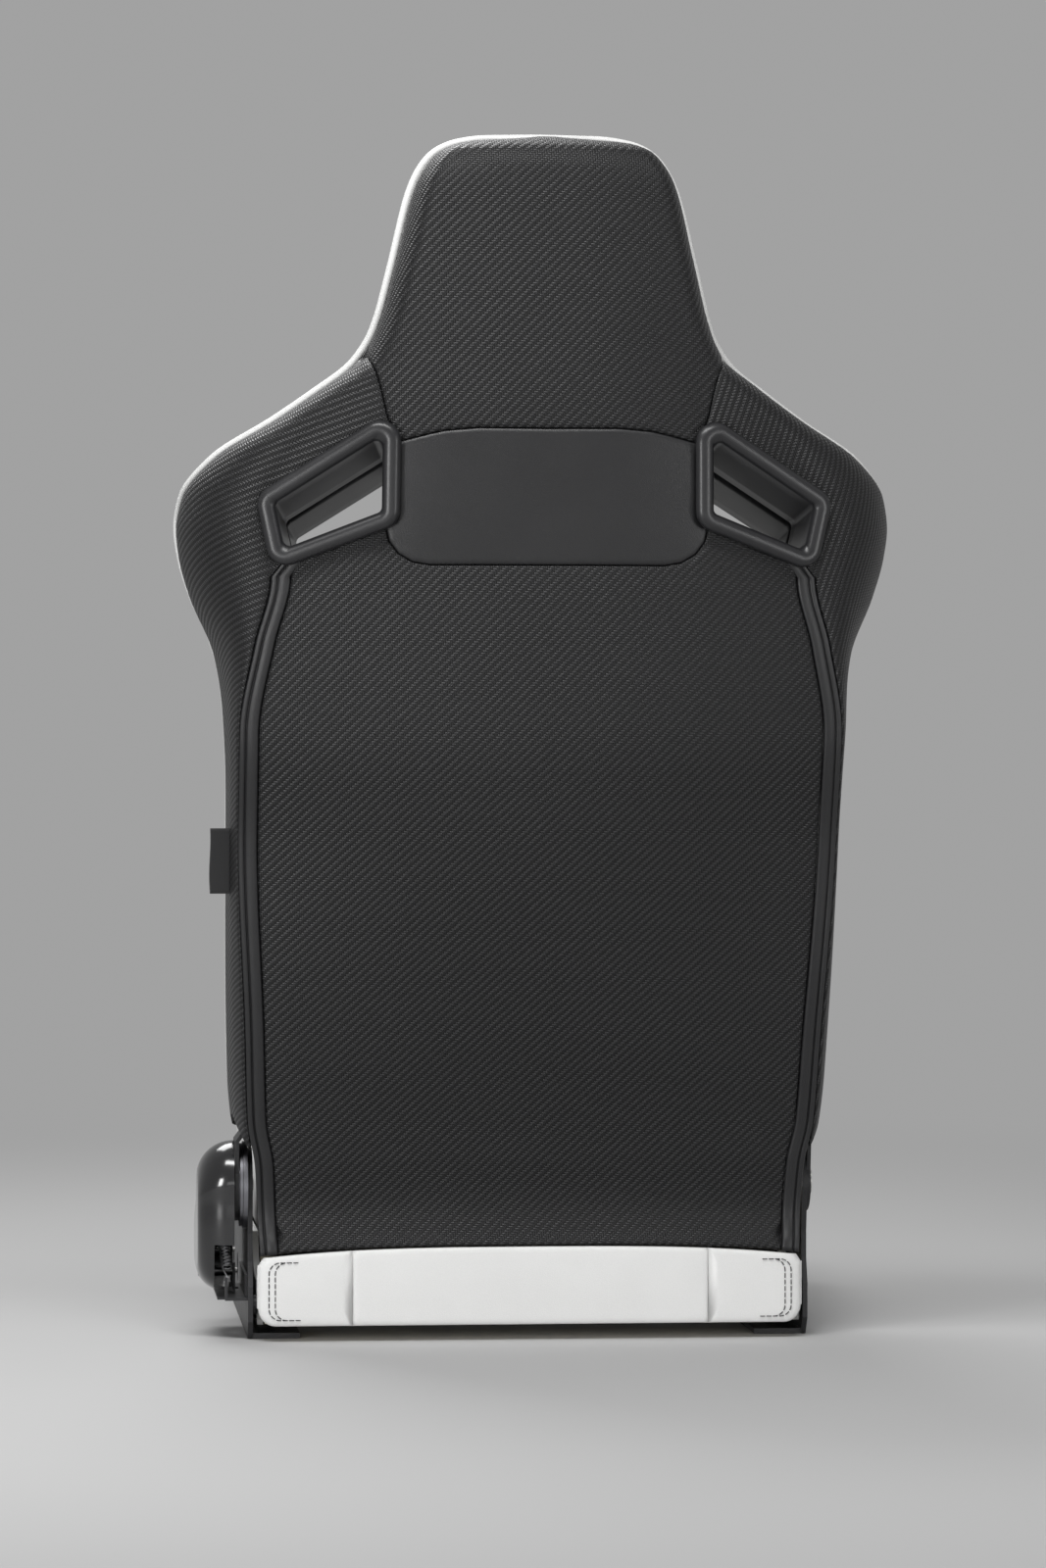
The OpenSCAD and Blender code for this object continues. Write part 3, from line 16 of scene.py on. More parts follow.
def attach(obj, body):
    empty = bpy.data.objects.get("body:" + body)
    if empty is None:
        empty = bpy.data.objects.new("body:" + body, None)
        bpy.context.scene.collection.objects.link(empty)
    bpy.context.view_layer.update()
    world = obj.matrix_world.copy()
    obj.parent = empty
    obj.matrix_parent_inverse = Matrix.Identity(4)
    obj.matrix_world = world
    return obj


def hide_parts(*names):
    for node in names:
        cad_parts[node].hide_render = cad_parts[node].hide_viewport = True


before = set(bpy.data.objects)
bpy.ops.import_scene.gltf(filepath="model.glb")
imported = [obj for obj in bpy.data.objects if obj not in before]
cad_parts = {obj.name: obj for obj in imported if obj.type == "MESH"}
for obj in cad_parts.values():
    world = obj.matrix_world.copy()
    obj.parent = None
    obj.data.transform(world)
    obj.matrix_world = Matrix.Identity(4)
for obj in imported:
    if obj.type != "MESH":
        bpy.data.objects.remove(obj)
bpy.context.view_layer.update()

# %% [markdown]
# The view is from behind and slightly from the recliner's side, level, at the height of the middle
# of the seat, through a long lens. A long lens from far away keeps the outline of the back true,
# as on a catalogue page. The camera looks straight ahead, so upright edges stay upright.

# %% Camera
VIEW_AZIMUTH = math.radians(174.7)
VIEW_DISTANCE = 4.2
VIEW_AIM = Vector((0.0067, 0.268, 0.445))
LENS_MM, SENSOR_MM = 120.4, 36.0

camera_data = bpy.data.cameras.new("camera")
camera_data.lens, camera_data.sensor_width = LENS_MM, SENSOR_MM
camera = bpy.data.objects.new("camera", camera_data)
toward_camera = Vector((math.sin(VIEW_AZIMUTH), -math.cos(VIEW_AZIMUTH), 0.0))
camera.location = VIEW_AIM + VIEW_DISTANCE * toward_camera
camera.rotation_euler = (-toward_camera).to_track_quat("-Z", "Y").to_euler()
bpy.context.scene.collection.objects.link(camera)
bpy.context.scene.camera = camera

# %% [markdown]
# Materials are built from shader nodes. Many of them need sums such as "which thread of the weave
# is on top here", and a chain of Math nodes is hard to read when it is written node by node. A
# small wrapper lets a shader number be added, multiplied and wrapped like an ordinary one. The
# floor uses it first.


# %% Shader numbers
class Number:
    """A shader number that can be worked with like a plain one."""

    def __init__(self, tree, socket):
        self.tree, self.socket = tree, socket

    def work(self, operation, *others):
        node = self.tree.nodes.new("ShaderNodeMath")
        node.operation = operation
        for inlet, value in zip(node.inputs, (self,) + others):
            if isinstance(value, Number):
                self.tree.links.new(value.socket, inlet)
            else:
                inlet.default_value = value
        return Number(self.tree, node.outputs[0])

    def __add__(self, other):
        return self.work("ADD", other)

    def __sub__(self, other):
        return self.work("SUBTRACT", other)

    def __mul__(self, other):
        return self.work("MULTIPLY", other)

    def floor(self):
        return self.work("FLOOR")

    def wrap(self, period):
        return self.work("FLOORED_MODULO", period)

    def below(self, limit):
        return self.work("LESS_THAN", limit)

    def power(self, exponent):
        return self.work("POWER", exponent)

    def hump(self):
        """Turns 0..1 into a round hump, 0 at both ends and 1 in the middle."""
        return (self * math.pi).work("SINE").work("MAXIMUM", 0.0)

# %% [markdown]
# Black vinyl shows its shape only by what it mirrors, so the world stays dim and large panels of
# light draw the highlights: one above rakes over the back and shows its relief, one on each side
# rounds off the wings, a faint low one reaches the undersides, and one more lights the front. The
# floor is pale paper. Further away it turns into the plain backdrop, which only camera and mirror
# rays see, so that no horizon line shows and the backdrop throws no light of its own on the seat.

# %% Floor, world and lamps
scene = bpy.context.scene
scene.view_settings.view_transform = "Standard"

PAPER_GREY, BACKDROP_GREY, WORLD_GREY = ((grey, grey, grey, 1) for grey in (0.55, 0.36, 0.10))
PAPER_FADE = (0.7, 2.6)  # from here to there the paper turns into the backdrop
FLOOR_R, FLOOR_SIDES, FLOOR_Z = 8, 96, -0.0005


def area_lamp(name, place, aim, width, height, watts):
    """A soft panel of light at place, facing aim."""
    data = bpy.data.lights.new(name, "AREA")
    data.shape, data.size, data.size_y, data.energy = "RECTANGLE", width, height, watts
    lamp = bpy.data.objects.new(name, data)
    lamp.location = place
    lamp.rotation_euler = (Vector(aim) - Vector(place)).to_track_quat("-Z", "Y").to_euler()
    scene.collection.objects.link(lamp)
    return lamp


area_lamp("lamp_above", (0.35, 1.3, 2.1), (0, 0.36, 0.65), 1.6, 0.4, 32)
area_lamp("lamp_side_left", (1.5, 2.0, 0.5), (0.1, 0.36, 0.68), 0.4, 0.8, 18)
area_lamp("lamp_side_right", (-1.6, 1.9, 0.5), (-0.1, 0.36, 0.68), 0.4, 0.8, 8)
lamp_low = area_lamp("lamp_low", (0, 2.2, 0.22), (0, 0.4, 0.85), 1.7, 0.3, 2.5)
lamp_low.visible_camera = False
area_lamp("lamp_front", (0.7, -1.9, 3.0), (0, -0.1, 0.5), 2.0, 1.4, 58)


def backdrop_share(tree):
    """1 for the rays that show the plain backdrop: from the camera, mirrored or passed through."""
    path = tree.nodes.new("ShaderNodeLightPath")
    seen = None
    for ray in ("Is Camera Ray", "Is Glossy Ray", "Is Transmission Ray"):
        kind = Number(tree, path.outputs[ray])
        seen = kind if seen is None else seen.work("MAXIMUM", kind)
    return seen


def blend_into(tree, share, near, far, output):
    """The far shader takes over from the near one by a share."""
    blend = tree.nodes.new("ShaderNodeMixShader")
    tree.links.new(share.socket, blend.inputs["Fac"])
    tree.links.new(near.outputs[0], blend.inputs[1])
    tree.links.new(far.outputs[0], blend.inputs[2])
    tree.links.new(blend.outputs[0], tree.nodes[output].inputs["Surface"])


floor_mesh = bpy.data.meshes.new("floor")
floor_turn = np.linspace(0, 2 * np.pi, FLOOR_SIDES, endpoint=False)
floor_points = [(FLOOR_R * math.cos(a), FLOOR_R * math.sin(a), FLOOR_Z) for a in floor_turn]
floor_mesh.from_pydata(floor_points, [], [tuple(range(FLOOR_SIDES))])
floor = bpy.data.objects.new("floor", floor_mesh)
scene.collection.objects.link(floor)

# the paper keeps the shadow of the seat and melts into the plain backdrop further away
paper_finish = bpy.data.materials.new("pale_paper")
paper_finish.use_nodes = True
tree = paper_finish.node_tree
paper_shader = tree.nodes["Principled BSDF"]
paper_shader.inputs["Base Color"].default_value = PAPER_GREY
paper_shader.inputs["Roughness"].default_value = 0.8
far_away = tree.nodes.new("ShaderNodeMapRange")
far_away.interpolation_type = "SMOOTHSTEP"
for end, metres in zip(("From Min", "From Max"), PAPER_FADE):
    far_away.inputs[end].default_value = metres
away = tree.nodes.new("ShaderNodeVectorMath")
away.operation = "LENGTH"
tree.links.new(tree.nodes.new("ShaderNodeTexCoord").outputs["Object"], away.inputs[0])
tree.links.new(away.outputs["Value"], far_away.inputs["Value"])
plain = tree.nodes.new("ShaderNodeEmission")
plain.inputs["Color"].default_value = BACKDROP_GREY
blend_into(tree, backdrop_share(tree) * Number(tree, far_away.outputs[0]), paper_shader, plain,
           "Material Output")
floor_mesh.materials.append(paper_finish)

world = bpy.data.worlds.new("studio")
world.use_nodes = True
tree = world.node_tree
tree.nodes["Background"].inputs["Color"].default_value = WORLD_GREY
backdrop = tree.nodes.new("ShaderNodeBackground")
backdrop.inputs["Color"].default_value = BACKDROP_GREY
blend_into(tree, backdrop_share(tree), tree.nodes["Background"], backdrop, "World Output")
scene.world = world

# %% [markdown]
# Every material here is a Principled shader with a few of its sockets driven by patterns. These
# helpers add the nodes for one such socket at a time: a colour between two, a roughness in a
# range, or a bump. A material is then a short list of what it is made of.


# %% Shader helpers
def colour_by(tree, shader, share, dark, light):
    """Base colour between dark and light by a shader number."""
    node = tree.nodes.new("ShaderNodeMix")
    node.data_type = "RGBA"
    tree.links.new(share.socket, node.inputs["Factor"])
    node.inputs["A"].default_value = (*dark, 1)
    node.inputs["B"].default_value = (*light, 1)
    tree.links.new(node.outputs["Result"], shader.inputs["Base Color"])


def rough_by(tree, shader, share, low, high):
    """Roughness between low and high by a shader number from 0 to 1."""
    tree.links.new((share * (high - low) + low).socket, shader.inputs["Roughness"])


def new_finish(name, colour, roughness, **sockets):
    """A node material with plain values on its shader; returns it with its tree and shader."""
    material = bpy.data.materials.new(name)
    material.use_nodes = True
    shader = material.node_tree.nodes["Principled BSDF"]
    shader.inputs["Base Color"].default_value = (*colour, 1)
    shader.inputs["Roughness"].default_value = roughness
    for socket, value in sockets.items():
        shader.inputs[socket.replace("_", " ")].default_value = value
    return material, material.node_tree, shader


def place_on(tree, kind):
    """Where a surface point is: 'UV' in metres along a cover, 'Object' in metres in space."""
    return tree.nodes.new("ShaderNodeTexCoord").outputs[kind]


def noise(tree, place, scale, detail=2.0):
    """Cloudy pattern around 0.5; more detail adds finer clouds."""
    node = tree.nodes.new("ShaderNodeTexNoise")
    node.inputs["Scale"].default_value = scale
    node.inputs["Detail"].default_value = detail
    tree.links.new(place, node.inputs["Vector"])
    return Number(tree, node.outputs["Fac"])


def cells(tree, place, scale):
    """0 in the creases between pebbles, rising towards their middles."""
    node = tree.nodes.new("ShaderNodeTexVoronoi")
    node.feature = "DISTANCE_TO_EDGE"
    node.inputs["Scale"].default_value = scale
    tree.links.new(place, node.inputs["Vector"])
    return Number(tree, node.outputs["Distance"])


def raise_surface(tree, shader, height, distance, strength=1.0):
    """Bump of the given height in metres."""
    node = tree.nodes.new("ShaderNodeBump")
    node.inputs["Distance"].default_value = distance
    node.inputs["Strength"].default_value = strength
    tree.links.new(height.socket, node.inputs["Height"])
    tree.links.new(node.outputs["Normal"], shader.inputs["Normal"])


# %% [markdown]
# The main cover is vinyl embossed like carbon cloth: a two-by-two twill whose threads pass over
# two and under two, each row shifted by one, so the raised floats line up in diagonal ribs. The
# pattern could be an image, but it is only arithmetic: the column and the row that a point is in
# say which thread is on top, and how far along its float it is says how high the surface stands.
# The colour follows that height, so the grooves are painted darker as shade.


# %% Carbon-look vinyl
THREAD = 0.00178  # width of one embossed thread


def carbon_vinyl(name, turn):
    """Twill-embossed vinyl, its cloth turned by so many degrees on the cover."""
    finish, tree, shader = new_finish(name, (0.010, 0.010, 0.011), 0.36, Specular_IOR_Level=0.35)
    turned = tree.nodes.new("ShaderNodeMapping")
    turned.inputs["Rotation"].default_value = (0, 0, math.radians(turn))
    turned.inputs["Scale"].default_value = (-1 / THREAD, 1 / THREAD, 1)
    tree.links.new(place_on(tree, "UV"), turned.inputs["Vector"])
    split = tree.nodes.new("ShaderNodeSeparateXYZ")
    tree.links.new(turned.outputs[0], split.inputs[0])
    across, along = Number(tree, split.outputs["X"]), Number(tree, split.outputs["Y"])
    # a warp float runs up its column, a weft float runs along its row
    warp_along = (across.floor() + along * -1.0).wrap(4.0)
    weft_along = (across - along.floor() - 1.0).wrap(4.0)
    warp_on_top = warp_along.below(2.0)
    warp_height = (across.wrap(1.0).hump() * (warp_along * 0.5).hump().power(0.45)).power(0.6)
    weft_height = (along.wrap(1.0).hump() * (weft_along * 0.5 - 1.0).hump().power(0.45)).power(0.6)
    # the weft ribs stand higher than the warp between them, so the ribs read as slanted cords
    warp_part = warp_on_top * warp_height * 0.3
    height = warp_part + (warp_on_top * -1.0 + 1.0) * (weft_height * 0.55 + 0.45)
    fibres = noise(tree, turned.outputs[0], 2.2, 3.0)
    mottle = noise(tree, place_on(tree, "Object"), 9.0, 3.0)
    # the colour follows the height: the grooves and the lower warp are painted darker as shade and
    # the crests lighter, with a little random mottle
    groove_shade_and_mottle = height.power(2.0) * 0.9 + mottle * 0.1
    colour_by(tree, shader, groove_shade_and_mottle, (0.0006, 0.0006, 0.0008), (0.034, 0.034, 0.0355))
    rough_by(tree, shader, height * 0.8 + mottle * 0.2, 0.62, 0.24)
    raise_surface(tree, shader, height + fibres * 0.12, 0.0010, 1.0)
    return finish


CARBON = carbon_vinyl("carbon_vinyl", 0.0)
CARBON_LEFT = carbon_vinyl("carbon_vinyl_left_wing", 25.0)
CARBON_RIGHT = carbon_vinyl("carbon_vinyl_right_wing", -25.0)

# %% [markdown]
# The plain vinyls have a leather grain: soft pebbles about a millimetre wide with creases between
# them. Distance to the edge of a Voronoi cell is exactly that shape. A slow noise on top varies
# the shine, because a real hide or vinyl never reflects evenly over a whole panel.


# %% Grained vinyl, white and black
def grained_vinyl(name, dark, light, roughness, pebble, depth):
    """Vinyl with a leather grain; pebble and depth in metres."""
    finish, tree, shader = new_finish(name, light, roughness)
    place = place_on(tree, "Object")
    pebbles = cells(tree, place, 1 / pebble).work("SMOOTH_MIN", 0.28, 0.2)
    fine = noise(tree, place, 3.5 / pebble, 2.0)
    slow = noise(tree, place, 14.0, 3.0)
    # the creases between the pebbles are painted darker as shade; the slow noise adds random tone
    colour_by(tree, shader, slow * 0.7 + pebbles, dark, light)
    rough_by(tree, shader, slow, roughness - 0.08, roughness + 0.1)
    raise_surface(tree, shader, pebbles * 2.0 + fine * 0.4, depth, 0.7)
    return finish


WHITE, YOKE, STRIP = (grained_vinyl(*looks) for looks in (
    ("white_vinyl", (0.74, 0.74, 0.73), (0.85, 0.85, 0.84), 0.42, 0.0013, 0.00010),
    ("black_vinyl", (0.009, 0.009, 0.010), (0.019, 0.019, 0.020), 0.38, 0.0012, 0.00014),
    ("strip_vinyl", (0.008, 0.008, 0.009), (0.017, 0.017, 0.018), 0.42, 0.0008, 0.00008)))

# %% [markdown]
# The covers of the back all lie on one swept skin. Its outline and its depth are smooth curves
# through a few measured heights, the same ones as in the structure, so cover and structure agree.
# A curve that never overshoots its points is used, because an overshoot would show as a dent.
# Sizes are in millimetres here, as on a drawing, and become metres when a piece is made.

# %% Shape of the back
MM = 0.001
SEAT_HEIGHT = 952
HIP_X, WAIST_X, WING_X, HEAD_X = 434 / 2, 491 / 2, 576 / 2, 213 / 2
SHOULDER_Z = 648
BAND_REAR = 268.5
HEM_Y = BAND_REAR - 0.5
PIPE_R = 3.2
STRIP_W = 15
REAR_SHARE = 0.6  # share of the half width that faces the rear
PIVOT_Y, PIVOT_Z = 218, 122


def curve(rows):
    """Smooth function through rows of (position, value) that never overshoots them."""
    place, value = np.array(rows, float).T
    chord = np.diff(value) / np.diff(place)
    turns = chord[:-1] * chord[1:] <= 0
    total = np.where(turns, 1, chord[:-1] + chord[1:])
    inner = np.where(turns, 0, 2 * chord[:-1] * chord[1:] / total)
    slope = np.concatenate([chord[:1], inner, chord[-1:]])

    def at(x):
        i = np.clip(np.searchsorted(place, x) - 1, 0, len(place) - 2)
        step = place[i + 1] - place[i]
        u = np.clip((x - place[i]) / step, 0, 1)
        return (value[i] * (2 * u**3 - 3 * u**2 + 1) + step * slope[i] * (u**3 - 2 * u**2 + u)
                + value[i + 1] * (3 * u**2 - 2 * u**3) + step * slope[i + 1] * (u**3 - u**2))

    return at


outer_x = curve([
    (50, HIP_X + 3), (110, HIP_X + 8), (150, WAIST_X - 10), (180, WAIST_X - 4.5),
    (210, WAIST_X - 2), (300, WAIST_X), (445, WAIST_X + 1), (504, WAIST_X + 4),
    (547, WAIST_X + 11), (594, WING_X - 11.5), (SHOULDER_Z - 22, WING_X - 2.4),
    (SHOULDER_Z, WING_X), (SHOULDER_Z + 24, WING_X - 4), (SHOULDER_Z + 54, WING_X - 28),
    (SHOULDER_Z + 83, WING_X - 75), (SEAT_HEIGHT - 202, HEAD_X + 78),
    (SEAT_HEIGHT - 177, HEAD_X + 45), (SEAT_HEIGHT - 152, HEAD_X + 29.5),
    (SEAT_HEIGHT - 101, HEAD_X + 15.5), (SEAT_HEIGHT - 40, HEAD_X),
    (SEAT_HEIGHT - 17, HEAD_X - 14), (SEAT_HEIGHT - 7, HEAD_X - 31),
    (SEAT_HEIGHT - 1.5, HEAD_X - 64), (SEAT_HEIGHT, HEAD_X - 88)])
corner_x = curve([
    (50, HIP_X - 1), (92, HIP_X + 2), (140, HIP_X + 4.5), (175, WAIST_X - 18),
    (250, WAIST_X - 15), (406, WAIST_X - 8), (483, WAIST_X - 8), (552, WAIST_X - 19.5),
    (606, WAIST_X - 32), (SHOULDER_Z, WING_X - 65), (SHOULDER_Z + 54, WING_X - 89),
    (SHOULDER_Z + 83, WING_X - 118), (SEAT_HEIGHT - 177, HEAD_X + 13),
    (SEAT_HEIGHT - 101, HEAD_X - 8), (SEAT_HEIGHT - 40, HEAD_X - 21),
    (SEAT_HEIGHT - 17, HEAD_X - 34), (SEAT_HEIGHT - 7, HEAD_X - 50), (SEAT_HEIGHT, HEAD_X - 94)])
rear_y = curve([
    (50, HEM_Y + 3), (76, HEM_Y), (86, HEM_Y - 6), (100, HEM_Y - 9), (150, HEM_Y + 2),
    (250, HEM_Y + 38), (430, HEM_Y + 104), (480, HEM_Y + 118), (600, HEM_Y + 135),
    (730, HEM_Y + 153), (SEAT_HEIGHT - 101, HEM_Y + 165), (SEAT_HEIGHT - 30, HEM_Y + 170),
    (SEAT_HEIGHT - 14, HEM_Y + 165), (SEAT_HEIGHT - 5, HEM_Y + 150), (SEAT_HEIGHT, HEM_Y + 128)])
corner_y = curve([
    (50, HEM_Y - 2), (76, HEM_Y - 4), (86, HEM_Y - 8), (100, HEM_Y - 12), (150, HEM_Y),
    (285, HEM_Y + 38), (400, HEM_Y + 62), (483, HEM_Y + 92), (600, HEM_Y + 110),
    (650, HEM_Y + 109), (700, HEM_Y + 116), (SEAT_HEIGHT - 177, HEM_Y + 144),
    (SEAT_HEIGHT - 101, HEM_Y + 157), (SEAT_HEIGHT - 40, HEM_Y + 162),
    (SEAT_HEIGHT - 17, HEM_Y + 158), (SEAT_HEIGHT - 7, HEM_Y + 146), (SEAT_HEIGHT, HEM_Y + 120)])
pipe_y = curve([
    (50, HEM_Y - 94), (150, HEM_Y - 90), (300, HEM_Y - 65), (500, HEM_Y - 20),
    (600, HEM_Y - 10), (650, HEM_Y), (700, HEM_Y + 40), (SEAT_HEIGHT - 177, HEM_Y + 83),
    (SEAT_HEIGHT - 101, HEM_Y + 100), (SEAT_HEIGHT, HEM_Y + 98)])


TOP_HALF = float(outer_x(SEAT_HEIGHT - 2)) - PIPE_R  # half width of the piping's run over the top
cover_tuck = curve([(560, 0), (640, 0.6), (700, 1.8), (760, 2.8), (920, 2.8), (944, 1.2), (952, 0)])
top_drop = curve([(860, 0), (900, 1.2), (930, 3.4), (952, 5.0)])


def cover_x(z):
    """Half width of the rear covers, which end at the inner side of the piping."""
    return outer_x(z) - PIPE_R - cover_tuck(z)


def over_top_y(x):
    """Where the piping runs over the top of the head, a little further back in the middle."""
    return pipe_y(SEAT_HEIGHT) - 3.5 + 5.5 * np.clip(1 - (x / TOP_HALF) ** 2, 0, 1) ** 2


def hem_at(x):
    """Height of the back's lower edge, lower towards its ends."""
    return 76 - 8 * np.minimum(1, np.abs(x) / HIP_X) ** 3


def skin(t, z):
    """Point of the skin, t from 0 on the centre line to 1 at the piping."""
    t, z = np.broadcast_arrays(np.asarray(t, float), np.asarray(z, float))
    share, edge_x, edge_y = np.abs(t), corner_x(z), corner_y(z)
    turn = np.pi / 2 * np.clip((share - REAR_SHARE) / (1 - REAR_SHARE), 0, 1)
    rear = share <= REAR_SHARE
    x = np.where(rear, edge_x * share / REAR_SHARE,
                 edge_x + (cover_x(z) - edge_x) * np.sin(turn))
    y = np.where(rear, rear_y(z) - (rear_y(z) - edge_y) * (share / REAR_SHARE) ** 2.4,
                 pipe_y(z) + (edge_y - pipe_y(z)) * np.cos(turn))
    return np.stack([np.sign(t) * x, y, z - top_drop(z) * (1 - 0.5 * np.sin(turn) ** 2)], -1)


# %% [markdown]
# Sewn covers are cut from flat cloth, so every panel is laid out flat first: one number says how
# far round the back a point lies and the other how far up it lies, both measured along the
# surface. The panel is meshed in that flat drawing and then rolled onto the skin. The same flat
# numbers place the weave, so the threads keep their size everywhere, as real cloth does.

# %% Laying the skin out flat and rolling it up again
TURN_STEPS = 24
FOLD_OVER = 26  # length of cover that folds forward over the top of the head
FOLD_DROP = 3.6  # how far the front edge of that fold lies below the top
heights = np.linspace(50, SEAT_HEIGHT, 903)
climb = np.concatenate([[0], np.cumsum(np.hypot(np.diff(heights), np.diff(rear_y(heights))))])
turn_angles = np.linspace(0, np.pi / 2, TURN_STEPS + 1)


def side_lengths(z):
    """Length along the side of the skin up to each of turn_angles, one row for each height."""
    middle = (turn_angles[1:] + turn_angles[:-1]) / 2
    wide = (cover_x(z) - corner_x(z))[:, None]
    deep = (corner_y(z) - pipe_y(z))[:, None]
    steps = np.hypot(wide * np.cos(middle), deep * np.sin(middle)) * turn_angles[1]
    return np.concatenate([np.zeros((len(z), 1)), np.cumsum(steps, axis=1)], axis=1)


def from_turn(x_sign, angle, z):
    """Flat place of points at an angle round the side."""
    lengths = side_lengths(z)
    place = np.clip(angle / turn_angles[1], 0, TURN_STEPS - 1e-6)
    low = place.astype(int)
    row = np.arange(len(z))
    length = lengths[row, low] + (place - low) * (lengths[row, low + 1] - lengths[row, low])
    return np.stack([x_sign * (corner_x(z) + length), np.interp(z, heights, climb)], -1)


def unroll(line):
    """Flat places of points given as seen from behind, (x, z)."""
    x, z = np.array(line, float).T
    beyond = (np.abs(x) - corner_x(z)) / (cover_x(z) - corner_x(z))
    flat = from_turn(np.sign(x), np.arcsin(np.clip(beyond, 0, 1)), z)
    flat[:, 0] = np.where(beyond <= 0, x, flat[:, 0])
    return flat


def roll(flat):
    """Points of the skin at flat places; past the top they fold forward over the head."""
    around, up = np.array(flat, float).T
    z = np.interp(up, climb, heights)
    past = np.clip(np.abs(around) - corner_x(z), 0, None)
    lengths = side_lengths(z)
    low = np.clip((lengths <= past[:, None]).sum(axis=1) - 1, 0, TURN_STEPS - 1)
    row = np.arange(len(z))
    angle = turn_angles[low] + turn_angles[1] * (
        (past - lengths[row, low]) / (lengths[row, low + 1] - lengths[row, low]))
    t = np.where(past > 0, REAR_SHARE + (1 - REAR_SHARE) * np.clip(angle / (np.pi / 2), 0, 1),
                 REAR_SHARE * np.abs(around) / corner_x(z)) * np.sign(around)
    point = skin(t, z)
    over = np.clip((up - climb[-1]) / FOLD_OVER, 0, 1)[:, None]
    front_x = t * cover_x(SEAT_HEIGHT)
    front_edge = np.stack([front_x, over_top_y(front_x) + 1,
                           np.full_like(t, SEAT_HEIGHT - FOLD_DROP)], -1)
    return point * (1 - over) + front_edge * over


def outward(flat):
    """Outward directions of the skin at flat places."""
    flat = np.array(flat, float)
    across = roll(flat + (0.7, 0)) - roll(flat - (0.7, 0))
    upward = roll(flat + (0, 0.7)) - roll(flat - (0, 0.7))
    facing = np.cross(upward, across)
    return facing / (np.linalg.norm(facing, axis=1, keepdims=True) + 1e-9)


# %% [markdown]
# The seams are drawn as they are seen from behind, and each panel takes its outline from them.
# Where two panels meet, both use the same line, so no gap can open between them.

# %% Seam lines
BEZEL_QUAD = np.array([(114, 739), (115, 646), (213, 609), (226, 669)], float)
BEZEL_RIM, BEZEL_CORNER = 14, 9
YOKE_Z, YOKE_X = 614.5, 92
yoke_top = [(0, 719.5), (54, 720), (80, 718), (92, 715.5), (118, 709)]
yoke_side = [(YOKE_X + 34 * math.sin(k * math.pi / 8), YOKE_Z + 30 - 30 * math.cos(k * math.pi / 8))
             for k in range(5)]
head_seam = [yoke_top[-1], (125.5, 730), (129, 746), (133, 761), (140, 777), (156, 792), (320, 815)]
strip_heights = np.array([92, 140, 175, 250, 330, 406, 483, 520, 552, 580, 606])
bezel_middle = tuple(BEZEL_QUAD.mean(axis=0))


def unit(vectors):
    """The vectors at length one."""
    return vectors / (np.linalg.norm(vectors, axis=-1, keepdims=True) + 1e-12)


def run_along(line):
    """How far along an open line each of its points lies."""
    return np.concatenate([[0], np.cumsum(np.linalg.norm(np.diff(line, axis=0), axis=1))])


def closed(outline):
    """The outline with its first point once more at the end."""
    return np.concatenate([outline, outline[:1]])


def dense(line, step=4.0):
    """The same line with points about every step millimetres; its own points stay in it."""
    line = np.array(line, float)
    out = [line[:1]]
    for a, b in zip(line[:-1], line[1:]):
        count = max(1, int(np.ceil(np.linalg.norm(b - a) / step)))
        out.append(a + (b - a) * (np.arange(1, count + 1) / count)[:, None])
    return np.concatenate(out)


def rounded(corners, radius, count=6):
    """Closed outline through rounded corners."""
    corners = np.array(corners, float)
    out = []
    for i, corner in enumerate(corners):
        back = corners[i - 1] - corner
        ahead = corners[(i + 1) % len(corners)] - corner
        back, ahead = unit(back), unit(ahead)
        half = math.acos(back @ ahead) / 2
        centre = corner + unit(back + ahead) * radius / math.sin(half)
        start, end = (corner + way * radius / math.tan(half) for way in (back, ahead))
        for share in np.linspace(0, 1, count):
            out.append(centre + radius * unit(start + (end - start) * share - centre))
    return np.array(out)


def inset(corners, depth):
    """Convex outline, counter-clockwise, drawn in by depth."""
    corners = np.array(corners, float)
    side = np.roll(corners, -1, axis=0) - corners
    side /= np.linalg.norm(side, axis=1, keepdims=True)
    normal = np.stack([-side[:, 1], side[:, 0]], -1)
    before = np.roll(normal, 1, axis=0)
    return corners + depth * (before + normal) / (1 + (before * normal).sum(axis=1, keepdims=True))


def mirrored(line):
    """The line turned over to the other side, in the same order."""
    return np.array(line, float) * (-1, 1)


def strip_line(inner):
    z = dense(np.stack([strip_heights * 0.0, strip_heights], -1), 6)[:, 1]
    return np.stack([corner_x(z) - (STRIP_W if inner else 0), z], -1)


def down_side(z_from, z_to):
    """Flat places along the piping, from one height to another."""
    z = np.linspace(z_from, z_to, max(3, int(abs(z_to - z_from) / 4)))
    return from_turn(np.ones_like(z), np.full_like(z, np.pi / 2), z)

# %% [markdown]
# A panel is filled with small triangles in its flat drawing. Rows of points close to the edge make
# room for the sewing: along a seam the cloth is pulled down and rolls under, it puckers a little
# between the stitches, and away from the seams the padding pushes it up. A subdivided box could be
# sculpted like this by hand, but here the distance to the nearest seam gives the height at once.

# %% Panel maker
SEAM_ROLL = 5.0  # how wide the cloth bends down at a seam
SEAM_DEPTH = 2.2
COVER_T = 2.4
PUCKER = 7.0  # from one pucker to the next


